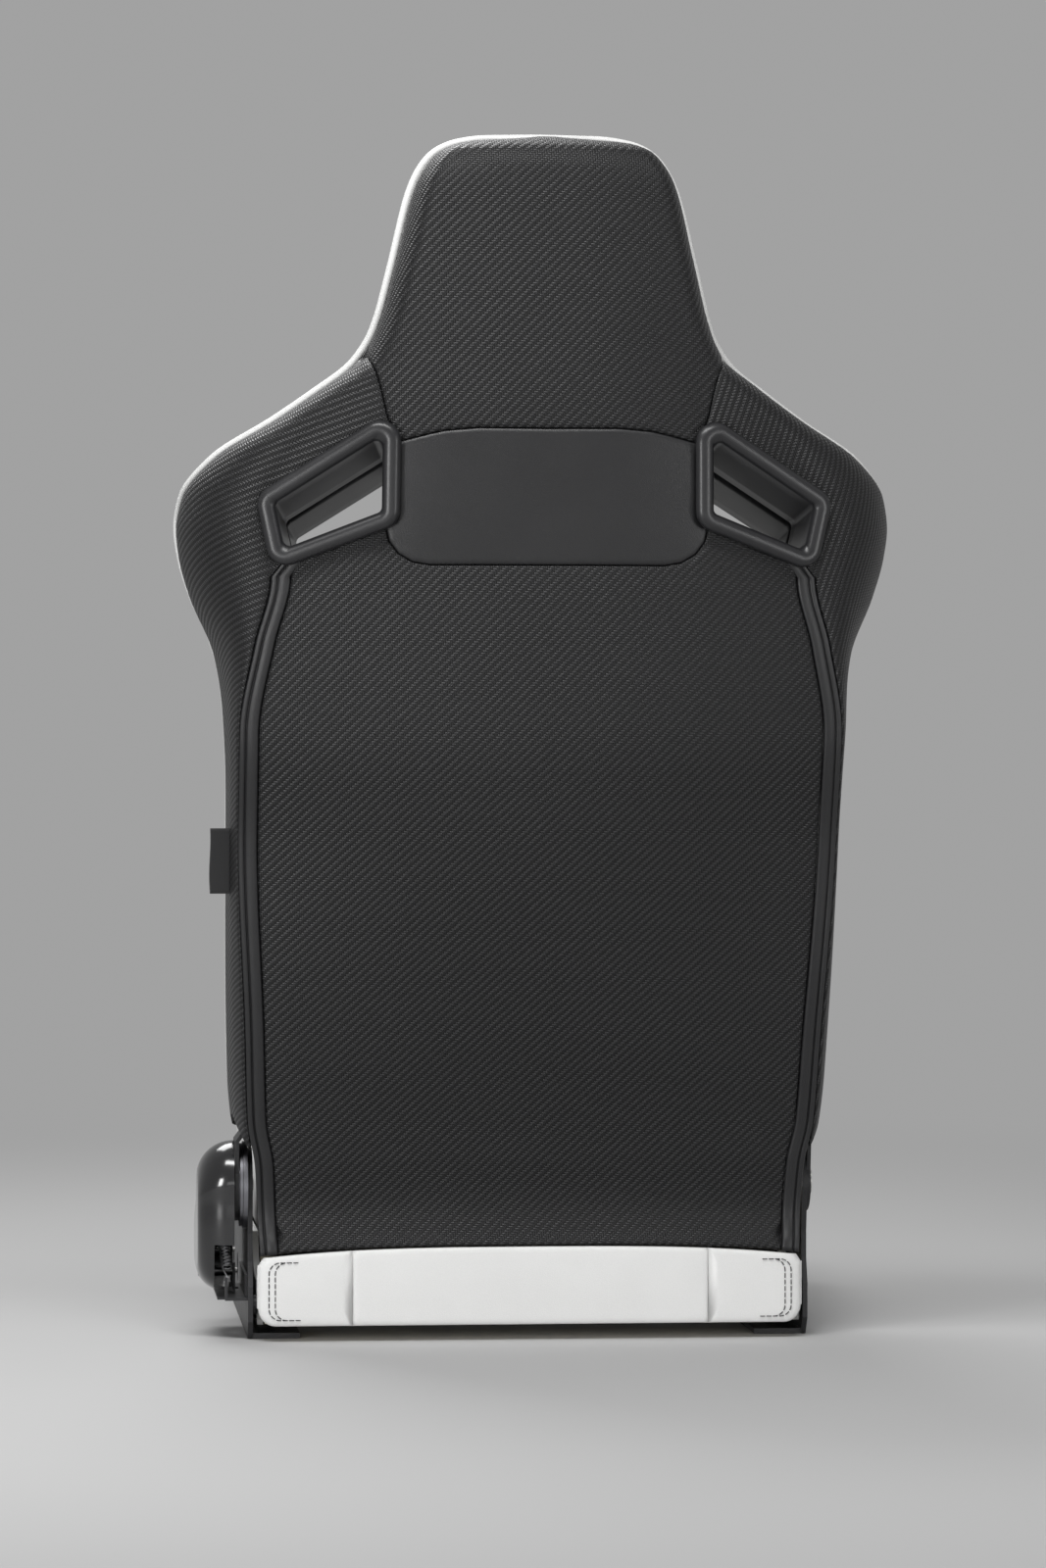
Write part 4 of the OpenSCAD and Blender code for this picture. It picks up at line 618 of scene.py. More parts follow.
def nearest_on(points, lines):
    """Distance from each flat point to the nearest of the lines, and how far along it that is."""
    starts = np.concatenate([line[:-1] for line in lines])
    ends = np.concatenate([line[1:] for line in lines])
    run = np.concatenate([run_along(line)[:-1] for line in lines])
    side = ends - starts
    length = np.linalg.norm(side, axis=1)
    best = np.full(len(points), 1e9)
    along = np.zeros(len(points))
    for start, direction, size, offset in zip(starts, side, length, run):
        share = np.clip((points - start) @ direction / (size * size + 1e-12), 0, 1)
        gap = np.linalg.norm(points - start - share[:, None] * direction, axis=1)
        closer = gap < best
        best[closer] = gap[closer]
        along[closer] = (offset + share * size)[closer]
    return best, along


def within(points, outline):
    """True for the flat points inside a closed outline."""
    inside = np.zeros(len(points), bool)
    for a, b in zip(outline, np.roll(outline, -1, axis=0)):
        crosses = (a[1] > points[:, 1]) != (b[1] > points[:, 1])
        side = a[0] + (points[:, 1] - a[1]) * (b[0] - a[0]) / (b[1] - a[1] + 1e-12)
        inside ^= crosses & (points[:, 0] < side)
    return inside


def fill_outline(outline, holes, step):
    """Flat points and triangles that fill an outline outside its holes."""
    outline = outline[np.linalg.norm(outline - np.roll(outline, 1, axis=0), axis=1) > 1e-4]
    loops = [outline] + [np.array(hole) for hole in holes]
    low, high = outline.min(axis=0), outline.max(axis=0)
    columns, rows = np.arange(low[0], high[0], step), np.arange(low[1], high[1], step * 0.87)
    grid = np.stack(np.meshgrid(columns, rows), -1)
    grid[1::2, :, 0] += step / 2
    grid = grid.reshape(-1, 2)
    grid = grid[within(grid, outline)]
    edge = [closed(loop) for loop in loops]
    grid = grid[nearest_on(grid, edge)[0] > SEAM_ROLL + 0.45 * step]
    rings = []
    for depth in (0.8, 1.9, 3.3, SEAM_ROLL):
        tangent = unit(np.roll(outline, -1, axis=0) - np.roll(outline, 1, axis=0))
        for way in (1, -1):
            ring = outline + way * depth * np.stack([-tangent[:, 1], tangent[:, 0]], -1)
            ring = ring[within(ring, outline)]
            rings.append(ring[nearest_on(ring, edge)[0] > 0.93 * depth])
    points = np.concatenate(loops + rings + [grid])
    links, first = [], 0
    for loop in loops:
        links += [(first + i, first + (i + 1) % len(loop)) for i in range(len(loop))]
        first += len(loop)
    made = geometry.delaunay_2d_cdt([Vector(p) for p in points], links, [], 0, 1e-4)
    flat = np.array([tuple(p) for p in made[0]])
    faces = np.array(made[2])
    middle = flat[faces].mean(axis=1)
    keep = within(middle, outline)
    for hole in loops[1:]:
        keep &= ~within(middle, hole)
    used = np.unique(faces[keep])
    place = np.zeros(len(flat), int)
    place[used] = np.arange(len(used))
    return flat[used], place[faces[keep]]


def linked(name, mesh):
    """A new object in the scene."""
    piece = bpy.data.objects.new(name, mesh)
    scene.collection.objects.link(piece)
    return piece


def shade_smooth(piece):
    piece.data.polygons.foreach_set("use_smooth", [True] * len(piece.data.polygons))


def dress(piece, finish):
    """Gives the piece one material and smooth shading."""
    piece.data.materials.clear()
    piece.data.materials.append(finish)
    shade_smooth(piece)


def new_object(name, points, faces, finish, flat=None):
    """Mesh object from points in millimetres; flat places become its UV map, in metres."""
    mesh = bpy.data.meshes.new(name)
    mesh.from_pydata((np.asarray(points) * MM).tolist(), [], [list(map(int, f)) for f in faces])
    if flat is not None:
        layer = mesh.uv_layers.new(name="flat")
        corners = np.array([loop.vertex_index for loop in mesh.loops])
        layer.data.foreach_set("uv", (np.asarray(flat)[corners] * MM).ravel())
    piece = linked(name, mesh)
    dress(piece, finish)
    return piece


def declare(piece, body, slot, *nodes):
    """The body that the piece moves with and the nodes it stands for; the slot is not used."""
    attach(piece, body)
    if nodes:
        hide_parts(*nodes)
    return piece


def apply_modifiers(piece):
    """Turns the piece's modifiers into plain mesh."""
    graph = bpy.context.evaluated_depsgraph_get()
    mesh = bpy.data.meshes.new_from_object(piece.evaluated_get(graph))
    old = piece.data
    piece.modifiers.clear()
    piece.data = mesh
    bpy.data.meshes.remove(old)


def thicken(piece, depth):
    """Gives a surface a thickness behind its front side."""
    solid = piece.modifiers.new("thickness", "SOLIDIFY")
    solid.thickness = depth * MM
    solid.offset = -1
    apply_modifiers(piece)
    shade_smooth(piece)


def relief(flat, sewn, bulge, puckers):
    """Height of a sewn cover over its skin."""
    gap, along = nearest_on(flat, sewn)
    bend = np.clip(1 - gap / SEAM_ROLL, 0, 1)
    height = -SEAM_DEPTH * (1 - np.sqrt(np.clip(1 - bend**2, 0, 1)))
    away = np.clip(gap / 28, 0, 1)
    height += bulge * away * away * (3 - 2 * away)
    # puckers differ in size and fade out from the seam
    uneven = 0.6 + 0.4 * np.sin(along * 0.083 + 1.0) * np.sin(along * 0.031)
    fade = np.exp(-gap / 7) * np.clip(gap / 2.5, 0, 1)
    return height - puckers * uneven * fade * np.cos(2 * np.pi * along / PUCKER)


def sewn_panel(name, node, finish, slot, outline, sewn, holes=(), bulge=1.2, puckers=0.28, step=5.0,
               body="backrest", lay=(roll, outward)):
    """A cover panel from its flat outline, with sewn lines along which it is pulled down.

    lay holds two functions of flat places: the point where each lies, and its outward direction.
    """
    place, direction = lay
    flat, faces = fill_outline(np.asarray(outline), holes, step)
    points = place(flat) + direction(flat) * relief(flat, sewn, bulge, puckers)[:, None]
    first, second, third = points[faces].transpose(1, 0, 2)
    facing = np.cross(second - first, third - first)
    if (facing * direction(flat[faces].mean(axis=1))).sum() < 0:
        faces = faces[:, ::-1]
    piece = new_object(name, points, faces, finish, flat)
    across, along = flat[faces[:, 1]] - flat[faces[:, 0]], flat[faces[:, 2]] - flat[faces[:, 0]]
    area = np.abs(across[:, 0] * along[:, 1] - across[:, 1] * along[:, 0]).sum() / 2 * MM**2
    thicken(piece, COVER_T)
    size = (flat.max(axis=0) - flat.min(axis=0)) * MM
    declare(piece, body, slot, node)
    print(name, "flat size", [round(float(s), 3) for s in size], "area", round(area, 4),
          "triangles", len(faces))
    return piece


# %% [markdown]
# The five panels are the head, the yoke between the harness openings, the lower back and the two
# wings. Each harness opening is a hole in all of the panels that meet there, a little smaller than
# its plastic bezel, so that the bezel's rim covers the cut edges.

# %% Cover panels of the back
hole_seen = rounded(inset(BEZEL_QUAD, 6), 8, 8)


def hole_at(side):
    """Flat outline of the harness hole on one side."""
    line = unroll(dense(closed(hole_seen)))[:-1]
    return line if side > 0 else mirrored(line)


holes = [hole_at(1), hole_at(-1)]
yoke_edge = unroll(dense(yoke_top))
yoke_side_edge = unroll(dense(yoke_side))
seam_seen = dense(head_seam, 3)
still_on_skin = seam_seen[:, 0] < outer_x(seam_seen[:, 1]) - PIPE_R
seam_seen = seam_seen[: int(np.argmin(still_on_skin)) + 1]
head_edge = unroll(seam_seen)
seam_end_z = float(seam_seen[-1, 1])
head_side = down_side(seam_end_z, SEAT_HEIGHT)
top_reach = head_side[-1, 0]
head_fold = np.array([(top_reach, climb[-1] + FOLD_OVER)])


def both_halves(half):
    """Closed outline from its +X half, given from the lower middle to the upper middle."""
    other = mirrored(half)[::-1]
    return np.concatenate([half, other[other[:, 0] < -1e-6]])


head_top = dense(np.concatenate([head_side[-1:], head_fold, [(0, climb[-1] + FOLD_OVER)]]), 3)[1:]
head_half = np.concatenate([yoke_edge, head_edge[1:], head_side[1:], head_top])
head_sewn = np.concatenate([yoke_edge, head_edge[1:], head_side[1:]])
sewn_panel("head_cover", "head_panel", CARBON, "carbon_leatherette", both_halves(head_half),
           [head_sewn, mirrored(head_sewn)], holes)

inner_strip = strip_line(True)
into_bezel = unroll(dense([inner_strip[-1], bezel_middle]))
yoke_bottom = dense([(0, YOKE_Z), (YOKE_X, YOKE_Z)])
yoke_half = np.concatenate([unroll(yoke_bottom), yoke_side_edge[1:],
                            unroll(dense([yoke_side[-1], bezel_middle, yoke_top[-1]]))[1:],
                            yoke_edge[::-1][1:]])
yoke_sewn = np.concatenate([unroll(yoke_bottom), yoke_side_edge[1:]])
sewn_panel("yoke_cover", "yoke_panel", YOKE, "yoke_leatherette", both_halves(yoke_half),
           [yoke_sewn, mirrored(yoke_sewn), yoke_edge, mirrored(yoke_edge)], holes, bulge=0.8)

hem_end = float(inner_strip[0, 0])
hem_seen = dense([(x, float(hem_at(x))) for x in np.linspace(0, hem_end, 13)])
strip_inner = unroll(np.concatenate([[hem_seen[-1]], inner_strip]))
lower_half = np.concatenate([unroll(hem_seen), strip_inner[1:], into_bezel[1:],
                             unroll(dense([bezel_middle, yoke_side[-1]]))[1:],
                             yoke_side_edge[::-1][1:], unroll(yoke_bottom)[::-1][1:]])
hem_flat = unroll(hem_seen)
sewn_panel("lower_cover", "lower_panel", CARBON, "carbon_leatherette", both_halves(lower_half),
           [strip_inner, mirrored(strip_inner), yoke_sewn, mirrored(yoke_sewn), hem_flat,
            mirrored(hem_flat)], holes)

HINGE_CUT_R = 58
cut_angles = np.radians(np.linspace(33, 150, 40))
cut_y = PIVOT_Y + HINGE_CUT_R * np.cos(cut_angles)
cut_z = PIVOT_Z + HINGE_CUT_R * np.sin(cut_angles)
on_side = (cut_y < corner_y(cut_z)) & (cut_y > pipe_y(cut_z)) & (cut_z > 150)
cut_y, cut_z = cut_y[on_side], cut_z[on_side]
cut_turn = np.arccos((cut_y - pipe_y(cut_z)) / (corner_y(cut_z) - pipe_y(cut_z)))
hinge_edge = from_turn(np.ones_like(cut_z), cut_turn, cut_z)
outer_strip = strip_line(False)
outer_strip = outer_strip[outer_strip[:, 1] > cut_z[0] - 1]
strip_outer = unroll(outer_strip)
wing_side = down_side(float(cut_z[-1]), seam_end_z)
wing_half = np.concatenate([
    strip_outer, unroll(dense([outer_strip[-1], bezel_middle, head_seam[0]]))[1:], head_edge[1:],
    wing_side[::-1][1:], hinge_edge[::-1][1:]])
wing_sewn = [strip_outer, head_edge, wing_side]
sewn_panel("wing_cover_left", "wing_panel_left", CARBON_LEFT, "carbon_leatherette", wing_half,
           wing_sewn, holes[:1], bulge=1.4)
sewn_panel("wing_cover_right", "wing_panel_right", CARBON_RIGHT, "carbon_leatherette",
           mirrored(wing_half), [mirrored(line) for line in wing_sewn], holes[1:], bulge=1.4)

# %% [markdown]
# Down both edges of the lower panel runs a strip that hides a zip: a folded flap next to the
# panel and a narrow flat band outside it. It is a ribbon of points across and along the skin, and
# the height across it is one small profile with a groove where the flap ends.

# %% Zip strips
strip_profile = curve([
    (0, -1.8), (0.7, -0.2), (2, 0.7), (5, 1.1), (8, 0.7), (9.2, -0.3), (9.8, -1.6),
    (10.4, -0.5), (11.6, 0.3), (13.4, 0.3), (14.4, -0.4), (15, -1.8)])
STRIP_CORNER_Z, STRIP_END_Z = 606, 640  # from here up the strips lean towards the openings
HEM_Z = 68
strip_top = np.linspace(STRIP_CORNER_Z, 628, 5)[1:]


def ribbon(side):
    """Flat places of one strip, a row for each height."""
    z = np.concatenate([np.linspace(HEM_Z, STRIP_CORNER_Z, 150), strip_top])
    across = np.linspace(0, STRIP_W, 46)
    bend_x, above = corner_x(STRIP_CORNER_Z), z - STRIP_CORNER_Z
    lean = above * (bend_x - bezel_middle[0]) / (bezel_middle[1] - STRIP_CORNER_Z)
    edge = np.where(above > 0, bend_x - lean, corner_x(z))
    x = edge[:, None] - STRIP_W + across
    lowest = hem_at(x)
    z = lowest + (z[:, None] - HEM_Z) * (STRIP_END_Z - lowest) / (STRIP_END_Z - HEM_Z)
    flat = unroll(np.stack([x.ravel(), z.ravel()], -1))
    height = np.broadcast_to(strip_profile(across), x.shape).ravel()
    height = height + 0.12 * np.sin(z.ravel() * 0.9) * np.sin(z.ravel() * 0.113)
    return (flat if side > 0 else mirrored(flat)), height, x.shape


def grid_faces(rows, columns, closed=False):
    """Quads between the points of a grid stored row by row."""
    last = columns if closed else columns - 1
    return [(r * columns + c, r * columns + (c + 1) % columns,
             (r + 1) * columns + (c + 1) % columns, (r + 1) * columns + c)
            for r in range(rows - 1) for c in range(last)]


for side, word in ((1, "left"), (-1, "right")):
    flat, height, shape = ribbon(side)
    points = roll(flat) + outward(flat) * height[:, None]
    faces = grid_faces(*shape)
    faces = faces if side < 0 else [face[::-1] for face in faces]
    strip = new_object(f"zip_strip_{word}", points, faces, STRIP, flat)
    thicken(strip, 2.0)
    declare(strip, "backrest", "black_leatherette", "zip_strips")

# %% [markdown]
# Piping, springs, wires and threads are all round bars along a path. One function makes them: it
# carries a ring of points along the path and turns it with the path, without any twist. The
# radius may change along the way, which lets the piping grow thinner as it goes down the side.


# %% Round bars and the edge piping
def bar_mesh(path, radius, sides=12):
    """Points and faces of a round bar with rounded ends, along a path in millimetres."""
    path = np.array(path, float)
    radius = np.broadcast_to(np.asarray(radius, float), (len(path),))
    ahead = unit(np.gradient(path, axis=0))
    side = np.cross(ahead[0], (0.31, 0.52, 0.79))
    angles = np.linspace(0, 2 * np.pi, sides, endpoint=False)
    rings = []
    for place, direction, r in zip(path, ahead, radius):
        side = side - direction * (side @ direction)
        side /= np.linalg.norm(side)
        up = np.cross(direction, side)
        rings.append(place + r * (np.cos(angles)[:, None] * side + np.sin(angles)[:, None] * up))
    ends = [(rings[0], path[0], -ahead[0], radius[0]), (rings[-1], path[-1], ahead[-1], radius[-1])]
    caps = [centre + (ring - centre) * 0.7 + direction * r * 0.35
            for ring, centre, direction, r in ends]
    rings = [caps[0]] + rings + [caps[1]]
    faces = grid_faces(len(rings), sides, closed=True)
    last = (len(rings) - 1) * sides
    faces += [tuple(range(sides))[::-1], tuple(range(last, last + sides))]
    return np.concatenate(rings), faces


def joined(meshes):
    """One list of points and faces from several."""
    points, faces, first = [], [], 0
    for some_points, some_faces in meshes:
        points.append(some_points)
        faces += [tuple(first + i for i in face) for face in some_faces]
        first += len(some_points)
    return np.concatenate(points), faces


def add_piece(name, mesh, finish, body, slot, *nodes):
    """A finished piece: mesh, material, the body it moves with and the nodes it stands for."""
    return declare(new_object(name, *mesh, finish), body, slot, *nodes)


pipe_radius = curve([(170, 1.5), (560, 1.5), (640, 1.7), (700, 2.8), (760, PIPE_R), (960, PIPE_R)])
pipe_tuck = curve([(170, 3.0), (520, 3.0), (600, 1.4), (680, 0), (960, 0)])
pipe_z = np.concatenate([np.linspace(175, 900, 146), SEAT_HEIGHT - np.geomspace(50, 2.5, 30)])
edge = np.stack([outer_x(pipe_z) - PIPE_R - pipe_tuck(pipe_z), pipe_y(pipe_z), pipe_z], -1)
edge_ahead = unit(np.gradient(edge, axis=0))
forward = np.array([0, -1, 0]) - edge_ahead * (edge_ahead @ (0, -1, 0))[:, None]
edge += (pipe_radius(pipe_z) + 0.3)[:, None] * unit(forward)  # in front of the covers' edge
over_x = edge[-1, 0] * np.linspace(0.93, 0, 20)
over_top = np.stack([over_x, over_top_y(over_x), np.full_like(over_x, edge[-1, 2])], -1)
half_pipe = np.concatenate([edge, over_top])
SMOOTH_FROM = 130
for _ in range(6):  # takes out the last small kink where the two runs meet
    between = (half_pipe[SMOOTH_FROM - 1:-2] + half_pipe[SMOOTH_FROM + 1:]) / 2
    half_pipe[SMOOTH_FROM:-1] += (between - half_pipe[SMOOTH_FROM:-1]) * 0.6
whole_pipe = np.concatenate([half_pipe, (half_pipe[:-1] * (-1, 1, 1))[::-1]])
half_radius = np.concatenate([pipe_radius(pipe_z), np.full(len(over_top), PIPE_R)])
whole_radius = np.concatenate([half_radius, half_radius[:-1][::-1]])
add_piece("edge_piping_cord", bar_mesh(whole_pipe, whole_radius, 14), WHITE, "backrest",
          "white_leatherette", "edge_piping")

# %% [markdown]
# A harness opening is a slanted tunnel with a moulded bezel at each end. The bezel is one closed
# loft: an outline with rounded corners is swept over a round rim, down the tunnel wall and back
# outside it. Sweeping outlines keeps the wall even, and the slant comes from shifting them.

# %% Harness bezels
SLEEVE_WALL, SLEEVE_DROP, SLEEVE_INSET = 3, 24, 20
front_y = curve([(130, HEM_Y - 98), (300, HEM_Y - 53), (500, HEM_Y - 3), (650, HEM_Y + 32),
                 (750, HEM_Y + 50), (SEAT_HEIGHT - 52, HEM_Y + 62), (SEAT_HEIGHT, HEM_Y + 76)])


def on_skin(points):
    """Points of the skin seen from behind at (x, z)."""
    return roll(unroll(points))


corner_points = on_skin(BEZEL_QUAD)
bezel_normal = np.cross(corner_points[3] - corner_points[1], corner_points[0] - corner_points[2])
bezel_normal *= np.sign(bezel_normal[1]) / np.linalg.norm(bezel_normal)
bezel_centre = on_skin([bezel_middle])[0]
reaches = np.append(corner_points, [bezel_centre], axis=0) @ bezel_normal
bezel_lift = 2 + max(reaches) - reaches[-1]
front_slope = (front_y(700) - front_y(600)) / 100
front_normal = np.array([0, -1, front_slope]) / math.hypot(1, front_slope)


def opening_outline(grow):
    corners = inset(BEZEL_QUAD, BEZEL_RIM - grow)
    outline = rounded(corners, max(5, BEZEL_CORNER - BEZEL_RIM / 2 + grow), 10)
    links = []
    for a, b in zip(outline, np.roll(outline, -1, axis=0)):
        count = 8 if np.linalg.norm(b - a) > 12 else 1
        links.append(a + (b - a) * (np.arange(count) / count)[:, None])
    return np.concatenate(links)


def opening_ring(grow, share, lift=0.0):
    """Ring round the opening at a share of its depth, raised by lift from its plane."""
    x, z = opening_outline(grow).T
    lean = bezel_normal[0] * (x - bezel_centre[0]) + bezel_normal[2] * (z - bezel_centre[2])
    rear = np.stack([x, bezel_centre[1] + (bezel_lift - lean) / bezel_normal[1], z], -1)
    low_z = z - SLEEVE_DROP
    front = np.stack([x - SLEEVE_INSET, front_y(low_z) - 1.5, low_z], -1)
    normal = bezel_normal if share < 0.5 else front_normal
    return rear + (front - rear) * share + lift * normal


def bezel_rings(rear):
    width, height = (BEZEL_RIM, 7.0) if rear else (BEZEL_RIM - 2, 5.0)
    mouth, deep = (0.0, 0.498) if rear else (1.0, 0.506)
    over = [(width / 2 * (1 + np.sign(math.cos(a)) * abs(math.cos(a)) ** 0.85),
             height * math.sin(a)) for a in np.linspace(0, math.pi, 15)]
    rings = [opening_ring(grow, mouth, lift) for grow, lift in over]
    rings += [opening_ring(0, share) for share in np.linspace(mouth, deep, 6)[1:]]
    rings += [opening_ring(SLEEVE_WALL - 0.2, share) for share in np.linspace(deep, mouth, 4)]
    return rings


def ring_loft(rings, closed):
    """Points and faces through rings of points; closed joins the last ring to the first."""
    count = len(rings[0])
    chosen = rings + rings[:1] if closed else rings
    faces = grid_faces(len(chosen), count, closed=True)
    size = len(rings) * count
    return np.concatenate(rings), [tuple(i % size for i in face) for face in faces]


def flipped(mesh):
    """The mesh mirrored to the other side of the seat."""
    return mesh[0] * (-1, 1, 1), [face[::-1] for face in mesh[1]]


def facing_out(mesh):
    """The closed mesh with its faces turned outward."""
    points, faces = mesh
    volume = 0.0
    for face in faces:
        for second, third in zip(face[1:-1], face[2:]):
            volume += np.dot(points[face[0]], np.cross(points[second], points[third]))
    return mesh if volume > 0 else (points, [face[::-1] for face in faces])

# %% [markdown]
# Moulded plastic is never perfectly smooth: a fine spark-eroded texture keeps it from looking wet.
# The cover of the recliner is polished and shows clear reflections, so it has its own material.

# %% Plastics
def moulded(name, dark, light, roughness, depth, coat):
    """Moulded plastic with a fine texture; coat is the share of clear gloss on top."""
    finish, tree, shader = new_finish(name, light, roughness, Coat_Weight=coat, Coat_Roughness=0.12)
    place = place_on(tree, "Object")
    fine = noise(tree, place, 1900, 2.0)
    slow = noise(tree, place, 22, 3.0)
    colour_by(tree, shader, slow, dark, light)
    rough_by(tree, shader, slow, roughness - 0.05, roughness + 0.07)
    raise_surface(tree, shader, fine, depth, 0.5)
    return finish


SATIN_PLASTIC = moulded("satin_plastic", (0.012, 0.012, 0.013), (0.024, 0.024, 0.026), 0.34,
                        0.00003, 0.0)
GLOSS_PLASTIC = moulded("gloss_plastic", (0.008, 0.008, 0.009), (0.013, 0.013, 0.014), 0.16,
                        0.00001, 0.6)

# %% [markdown]
# Now the bezels are made: the left ones from their rings, and the right ones as mirror images. A
# mirrored mesh is inside out, so the order of each face's points is turned round as well.

# %% Bezels on both sides
for rear, word in ((True, "rear"), (False, "front")):
    left = facing_out(ring_loft(bezel_rings(rear), closed=True))
    for mesh, side in ((left, "left"), (flipped(left), "right")):
        add_piece(f"harness_bezel_{word}_{side}", mesh, SATIN_PLASTIC, "backrest", "black_plastic",
                  f"bezel_{word}_{side}")

# %% [markdown]
# The pads start from their structural solids. A voxel remesh turns each into an even skin, and
# smoothing rounds its edges as foam under a sewn cover does. A short cloth simulation with air
# pressure inside then lets the skin bulge and pull as a stuffed cover would. At the end every
# point that left the solid is brought back to its surface, so no pad presses into its neighbour.

# %% Soft pads
PRESSURE = 4.0
SIM_FRAMES = 20
LARGEST_MOVE = 1.5  # the air moves no point further than this, so that seams stay closed


def coordinates(mesh):
    """Vertex positions of a mesh in millimetres."""
    flat = np.empty(len(mesh.vertices) * 3, dtype=np.float32)
    mesh.vertices.foreach_get("co", flat)
    return flat.reshape(-1, 3).astype(float) / MM


def set_coordinates(mesh, points):
    mesh.vertices.foreach_set("co", (points * MM).astype(np.float32).ravel())
    mesh.update()


def tree_of(mesh):
    """Search tree of a mesh, in metres."""
    return BVHTree.FromPolygons([vertex.co for vertex in mesh.vertices],
                                [tuple(face.vertices) for face in mesh.polygons])


def kept_inside(points, tree):
    """The points, with those outside the solid moved back to its surface."""
    out = points.copy()
    for i, point in enumerate(points):
        where, normal, _, distance = tree.find_nearest(Vector(point * MM))
        if (Vector(point * MM) - where).dot(normal) > 0:
            out[i] = np.array(where - normal * 0.0002) / MM
    return out


def inflate(piece):
    """Air pressure under the cover: a few frames of cloth, its movement capped."""
    start = coordinates(piece.data)
    cloth = piece.modifiers.new("cloth", "CLOTH")
    cloth.settings.quality = 4
    cloth.settings.mass = 0.2
    cloth.settings.tension_stiffness = cloth.settings.compression_stiffness = 14
    cloth.settings.shear_stiffness = 10
    cloth.settings.bending_stiffness = 0.4
    cloth.settings.use_pressure = True
    cloth.settings.uniform_pressure_force = PRESSURE
    cloth.settings.effector_weights.gravity = 0
    cloth.collision_settings.use_collision = False
    for number in range(1, SIM_FRAMES + 1):
        scene.frame_set(number)
    graph = bpy.context.evaluated_depsgraph_get()
    blown = coordinates(piece.evaluated_get(graph).to_mesh())
    piece.modifiers.clear()
    scene.frame_set(1)
    move = blown - start
    length = np.linalg.norm(move, axis=1, keepdims=True)
    set_coordinates(piece.data, start + move * np.minimum(1, LARGEST_MOVE / (length + 1e-9)))


def soft_form(name, node, finish, voxel, rounds, air=True):
    """A rounded, stuffed form of a CAD node; it isn't declared yet."""
    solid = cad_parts[node].data
    piece = linked(name, solid.copy())
    remesh = piece.modifiers.new("even", "REMESH")
    remesh.mode, remesh.voxel_size = "VOXEL", voxel * MM
    smooth = piece.modifiers.new("rounded", "SMOOTH")
    smooth.factor, smooth.iterations = 0.5, rounds
    apply_modifiers(piece)
    if air:
        inflate(piece)
    set_coordinates(piece.data, kept_inside(coordinates(piece.data), tree_of(solid)))
    finer = piece.modifiers.new("finer", "SUBSURF")
    finer.levels = finer.render_levels = 1
    apply_modifiers(piece)
    dress(piece, finish)
    return piece


def on_surface(piece, starts, direction):
    """Where rays from the starts hit the piece: points and outward normals, in millimetres."""
    tree = tree_of(piece.data)
    points, normals = [], []
    for start in starts:
        where, normal, _, _ = tree.ray_cast(Vector(np.asarray(start) * MM), Vector(direction))
        if where is not None:
            points.append(np.array(where) / MM)
            normals.append(np.array(normal) * (-1 if normal.dot(Vector(direction)) > 0 else 1))
    return np.array(points), np.array(normals)


def near_line(points, line, reach):
    """For the points near a line, some at a time: which, how far away and the nearest place."""
    low, high = line.min(axis=0) - reach, line.max(axis=0) + reach
    chosen = np.flatnonzero(((points > low) & (points < high)).all(axis=1))
    for first in range(0, len(chosen), 2000):
        some = chosen[first:first + 2000]
        gaps = np.linalg.norm(points[some][:, None] - line[None], axis=2)
        yield some, gaps.min(axis=1), line[gaps.argmin(axis=1)]


def press_line(piece, line, width, depth):
    """Presses a groove of that width and depth into the piece along a line on its surface."""
    points = coordinates(piece.data)
    normals = np.array([vertex.normal for vertex in piece.data.vertices])
    near = np.full(len(points), 1e9)
    for some, distance, _ in near_line(points, dense(line, width * 0.5), 3 * width):
        near[some] = distance
    groove = depth * np.exp(-((near / width) ** 2))
    set_coordinates(piece.data, points - normals * groove[:, None])


def draw_to(piece, path, reach=15.0, gap=2.6):
    """Pulls the cover of a pad to the piping that it is sewn to, less and less up to reach."""
    points = coordinates(piece.data)
    path = dense(path[(path >= points.min(axis=0) - reach).all(axis=1)
                      & (path <= points.max(axis=0) + reach).all(axis=1)], 2)
    for some, distance, nearest in near_line(points, path, reach):
        share = np.clip((distance - gap) / (reach - gap), 0, 1)
        goal = np.where(distance > gap, gap + (distance - gap) * share, distance)
        points[some] += (nearest - points[some]) * (1 - goal / (distance + 1e-9))[:, None]
    set_coordinates(piece.data, points)


def declare_pad(piece, node, body="backrest"):
    """A pad under white leather, moving with its body."""
    declare(piece, body, "white_leatherette", node)
    print(piece.name, "vertices", len(piece.data.vertices))


def declare_pair(left, node, body="backrest"):
    """Declares a left pad and a mirrored copy of it as the right one."""
    mesh = left.data.copy()
    set_coordinates(mesh, coordinates(mesh) * (-1, 1, 1))
    mesh.flip_normals()
    right = linked(left.name.replace("left", "right"), mesh)
    for piece, side in ((left, "left"), (right, "right")):
        declare_pad(piece, f"{node}_{side}", body)


# %% [markdown]
# Thread is what makes sewn leather believable up close. Each stitch is a little capsule that dips
# into the cover at both ends, and a row of them is one mesh. The black thread on white leather is
# a contrast seam, two rows side by side along each crest.

# %% Stitches
STITCH, STITCH_GAP, THREAD_R = 3.6, 1.6, 0.42
SEAM_PAIR = 3.2  # distance of each row from the seam


def spun_thread(name, dark, light):
    """Twisted sewing thread."""
    finish, tree, shader = new_finish(name, light, 0.6, Sheen_Weight=0.3)
    twist = noise(tree, place_on(tree, "Object"), 2600, 1.0)
    colour_by(tree, shader, twist, dark, light)
    raise_surface(tree, shader, twist, 0.0001, 0.8)
    return finish


BLACK_THREAD = spun_thread("black_thread", (0.008, 0.008, 0.009), (0.03, 0.03, 0.032))


